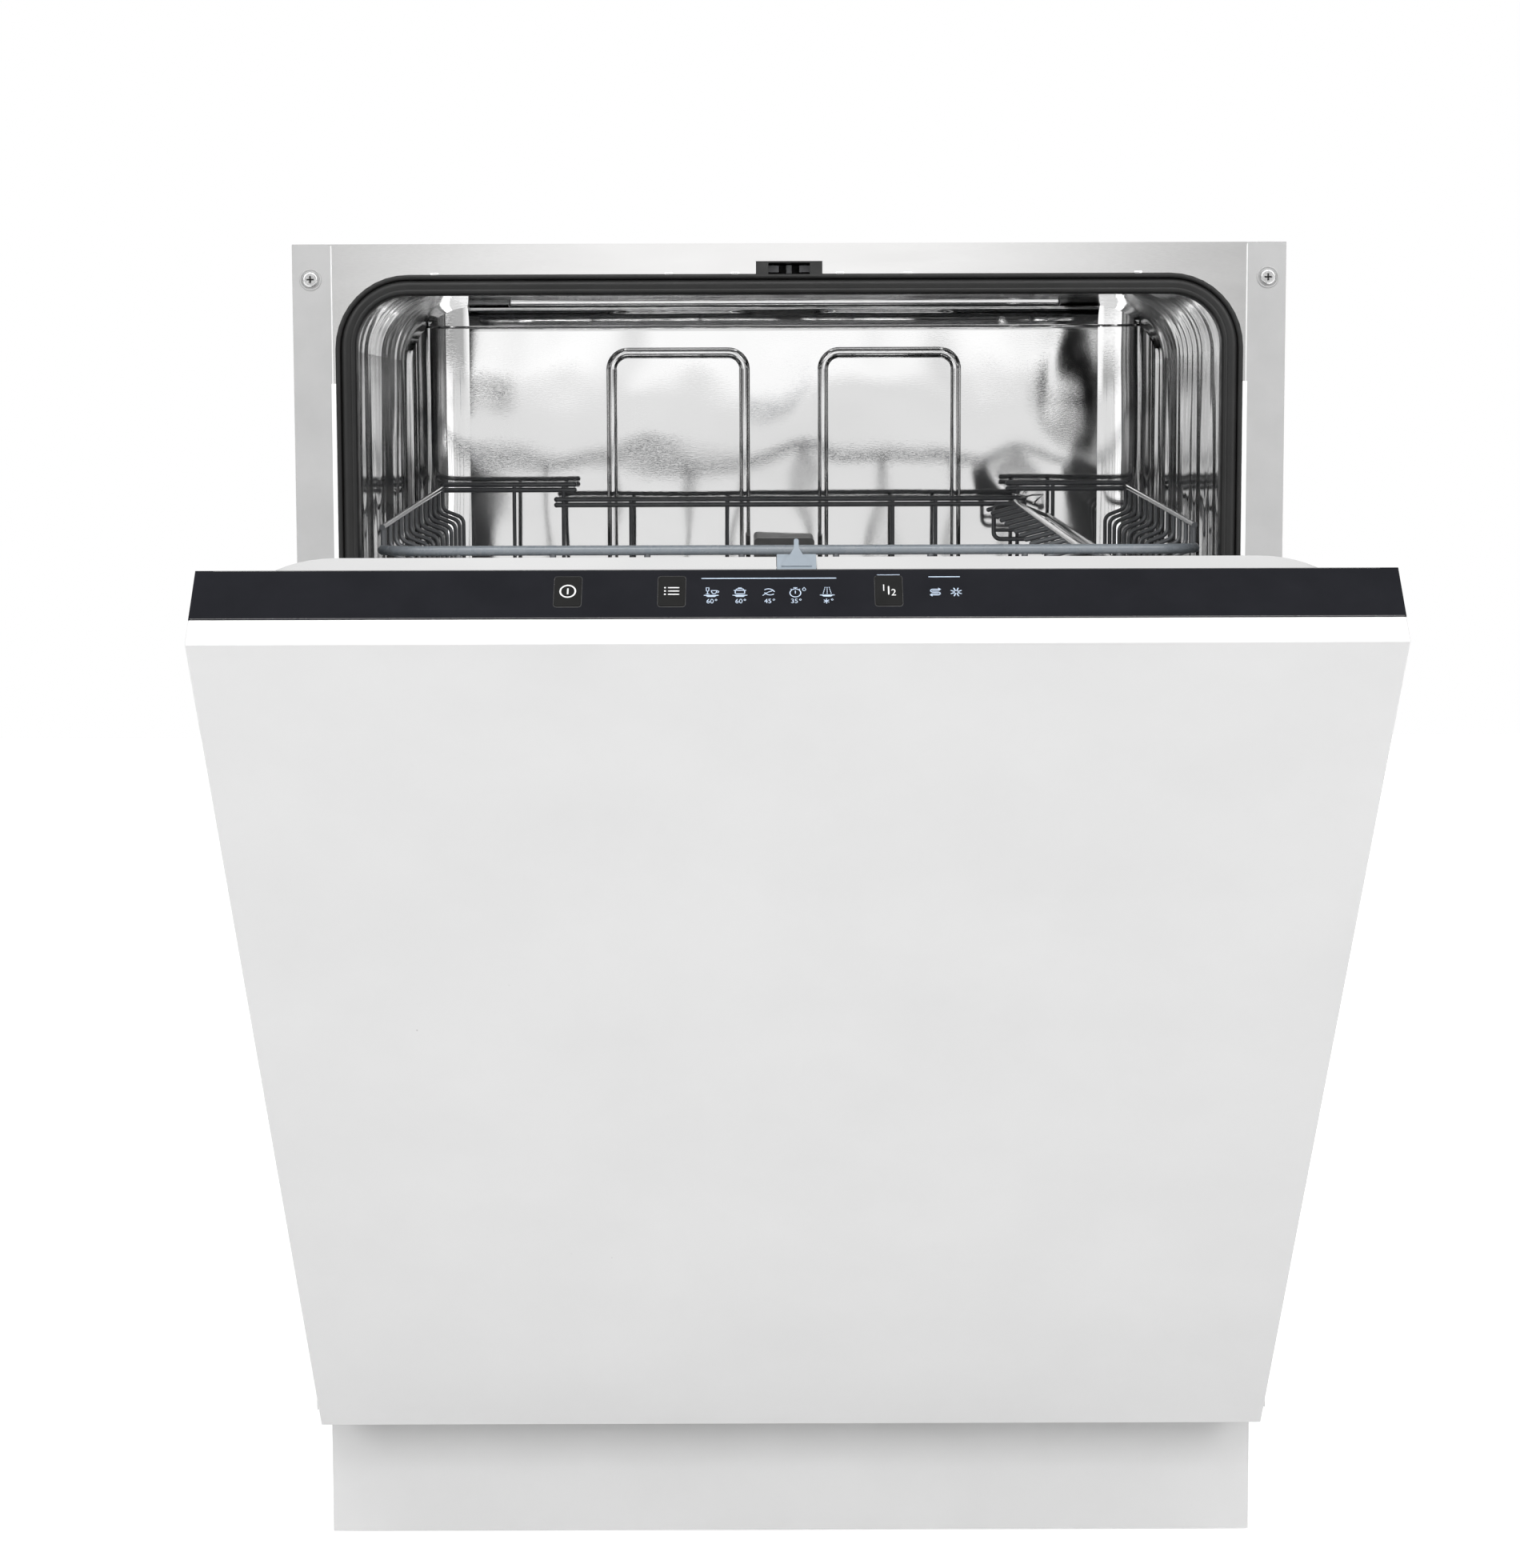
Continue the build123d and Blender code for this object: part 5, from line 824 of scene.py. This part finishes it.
def choose(tree, share, first, second):
    """The first shader, or the second by a share."""
    node = tree.nodes.new("ShaderNodeMixShader")
    for value, socket in zip((share, first, second), node.inputs):
        wire(tree, value, socket)
    return node.outputs["Shader"]


ROOM_STRENGTH = 0.45
room = backdrop(tree, ROOM_STRENGTH)
mirrored = backdrop(tree, mirror_strength)
white = backdrop(tree, 1.0)
light = choose(tree, seen.outputs["Is Glossy Ray"], room, mirrored)
light = choose(tree, seen.outputs["Is Camera Ray"], light, white)
wire(tree, light, tree.nodes.new("ShaderNodeOutputWorld").inputs["Surface"])


def soft_box(name, place, aim, size, power):
    """A rectangular lamp, in metres and watts, turned towards a point."""
    data = bpy.data.lights.new(name, "AREA")
    data.shape = "RECTANGLE"
    data.size, data.size_y = size
    data.energy = power
    lamp = bpy.data.objects.new(name, data)
    bpy.context.scene.collection.objects.link(lamp)
    lamp.location = place
    lamp.rotation_euler = (Vector(aim) - Vector(place)).to_track_quat("-Z", "Y").to_euler()


FRONT_BOX = (1.6, 1.8)
soft_box("front_left", (-2.2, -2.4, 1.8), (0, 0.1, 0.5), FRONT_BOX, 39)
soft_box("front_right", (2.2, -2.4, 1.8), (0, 0.1, 0.5), FRONT_BOX, 42)
soft_box("top", (0, -1.9, 2.7), (0, 0.1, 0.6), (2.4, 0.9), 34)

floor_mesh = bpy.data.meshes.new("floor")
FLOOR = 6
corners = [(-FLOOR, -FLOOR, 0), (FLOOR, -FLOOR, 0), (FLOOR, FLOOR, 0), (-FLOOR, FLOOR, 0)]
floor_mesh.from_pydata(corners, [], [(0, 1, 2, 3)])
floor = bpy.data.objects.new("floor", floor_mesh)
scene.collection.objects.link(floor)
floor_mat = bpy.data.materials.new("studio_floor")
floor_mat.use_nodes = True
tree = floor_mat.node_tree
base = tree.nodes["Principled BSDF"]
base.inputs["Base Color"].default_value = (0.78, 0.78, 0.78, 1)
base.inputs["Roughness"].default_value = 0.9
base.inputs["Specular IOR Level"].default_value = 0.1

# The floor is white to the camera, and nearly so in metal, away from the part's shadow
glow = tree.nodes.new("ShaderNodeEmission")
path = tree.nodes.new("ShaderNodeLightPath")
reach = tree.nodes.new("ShaderNodeVectorMath")
reach.operation = "LENGTH"
wire(tree, tree.nodes.new("ShaderNodeTexCoord").outputs["Object"], reach.inputs[0])
fade = map_range(tree, reach.outputs["Value"], 0.35, 1.3, 0.68, 1.0, smooth=True)
looked_at = maths(tree, "MULTIPLY_ADD", path.outputs["Is Glossy Ray"], 0.75, path.outputs["Is Camera Ray"])
wire(tree, maths(tree, "MULTIPLY", looked_at, fade), glow.inputs["Strength"])
mixed = tree.nodes.new("ShaderNodeAddShader")
wire(tree, base.outputs["BSDF"], mixed.inputs[0])
wire(tree, glow.outputs["Emission"], mixed.inputs[1])
wire(tree, mixed.outputs["Shader"], tree.nodes["Material Output"].inputs["Surface"])
floor_mesh.materials.append(floor_mat)
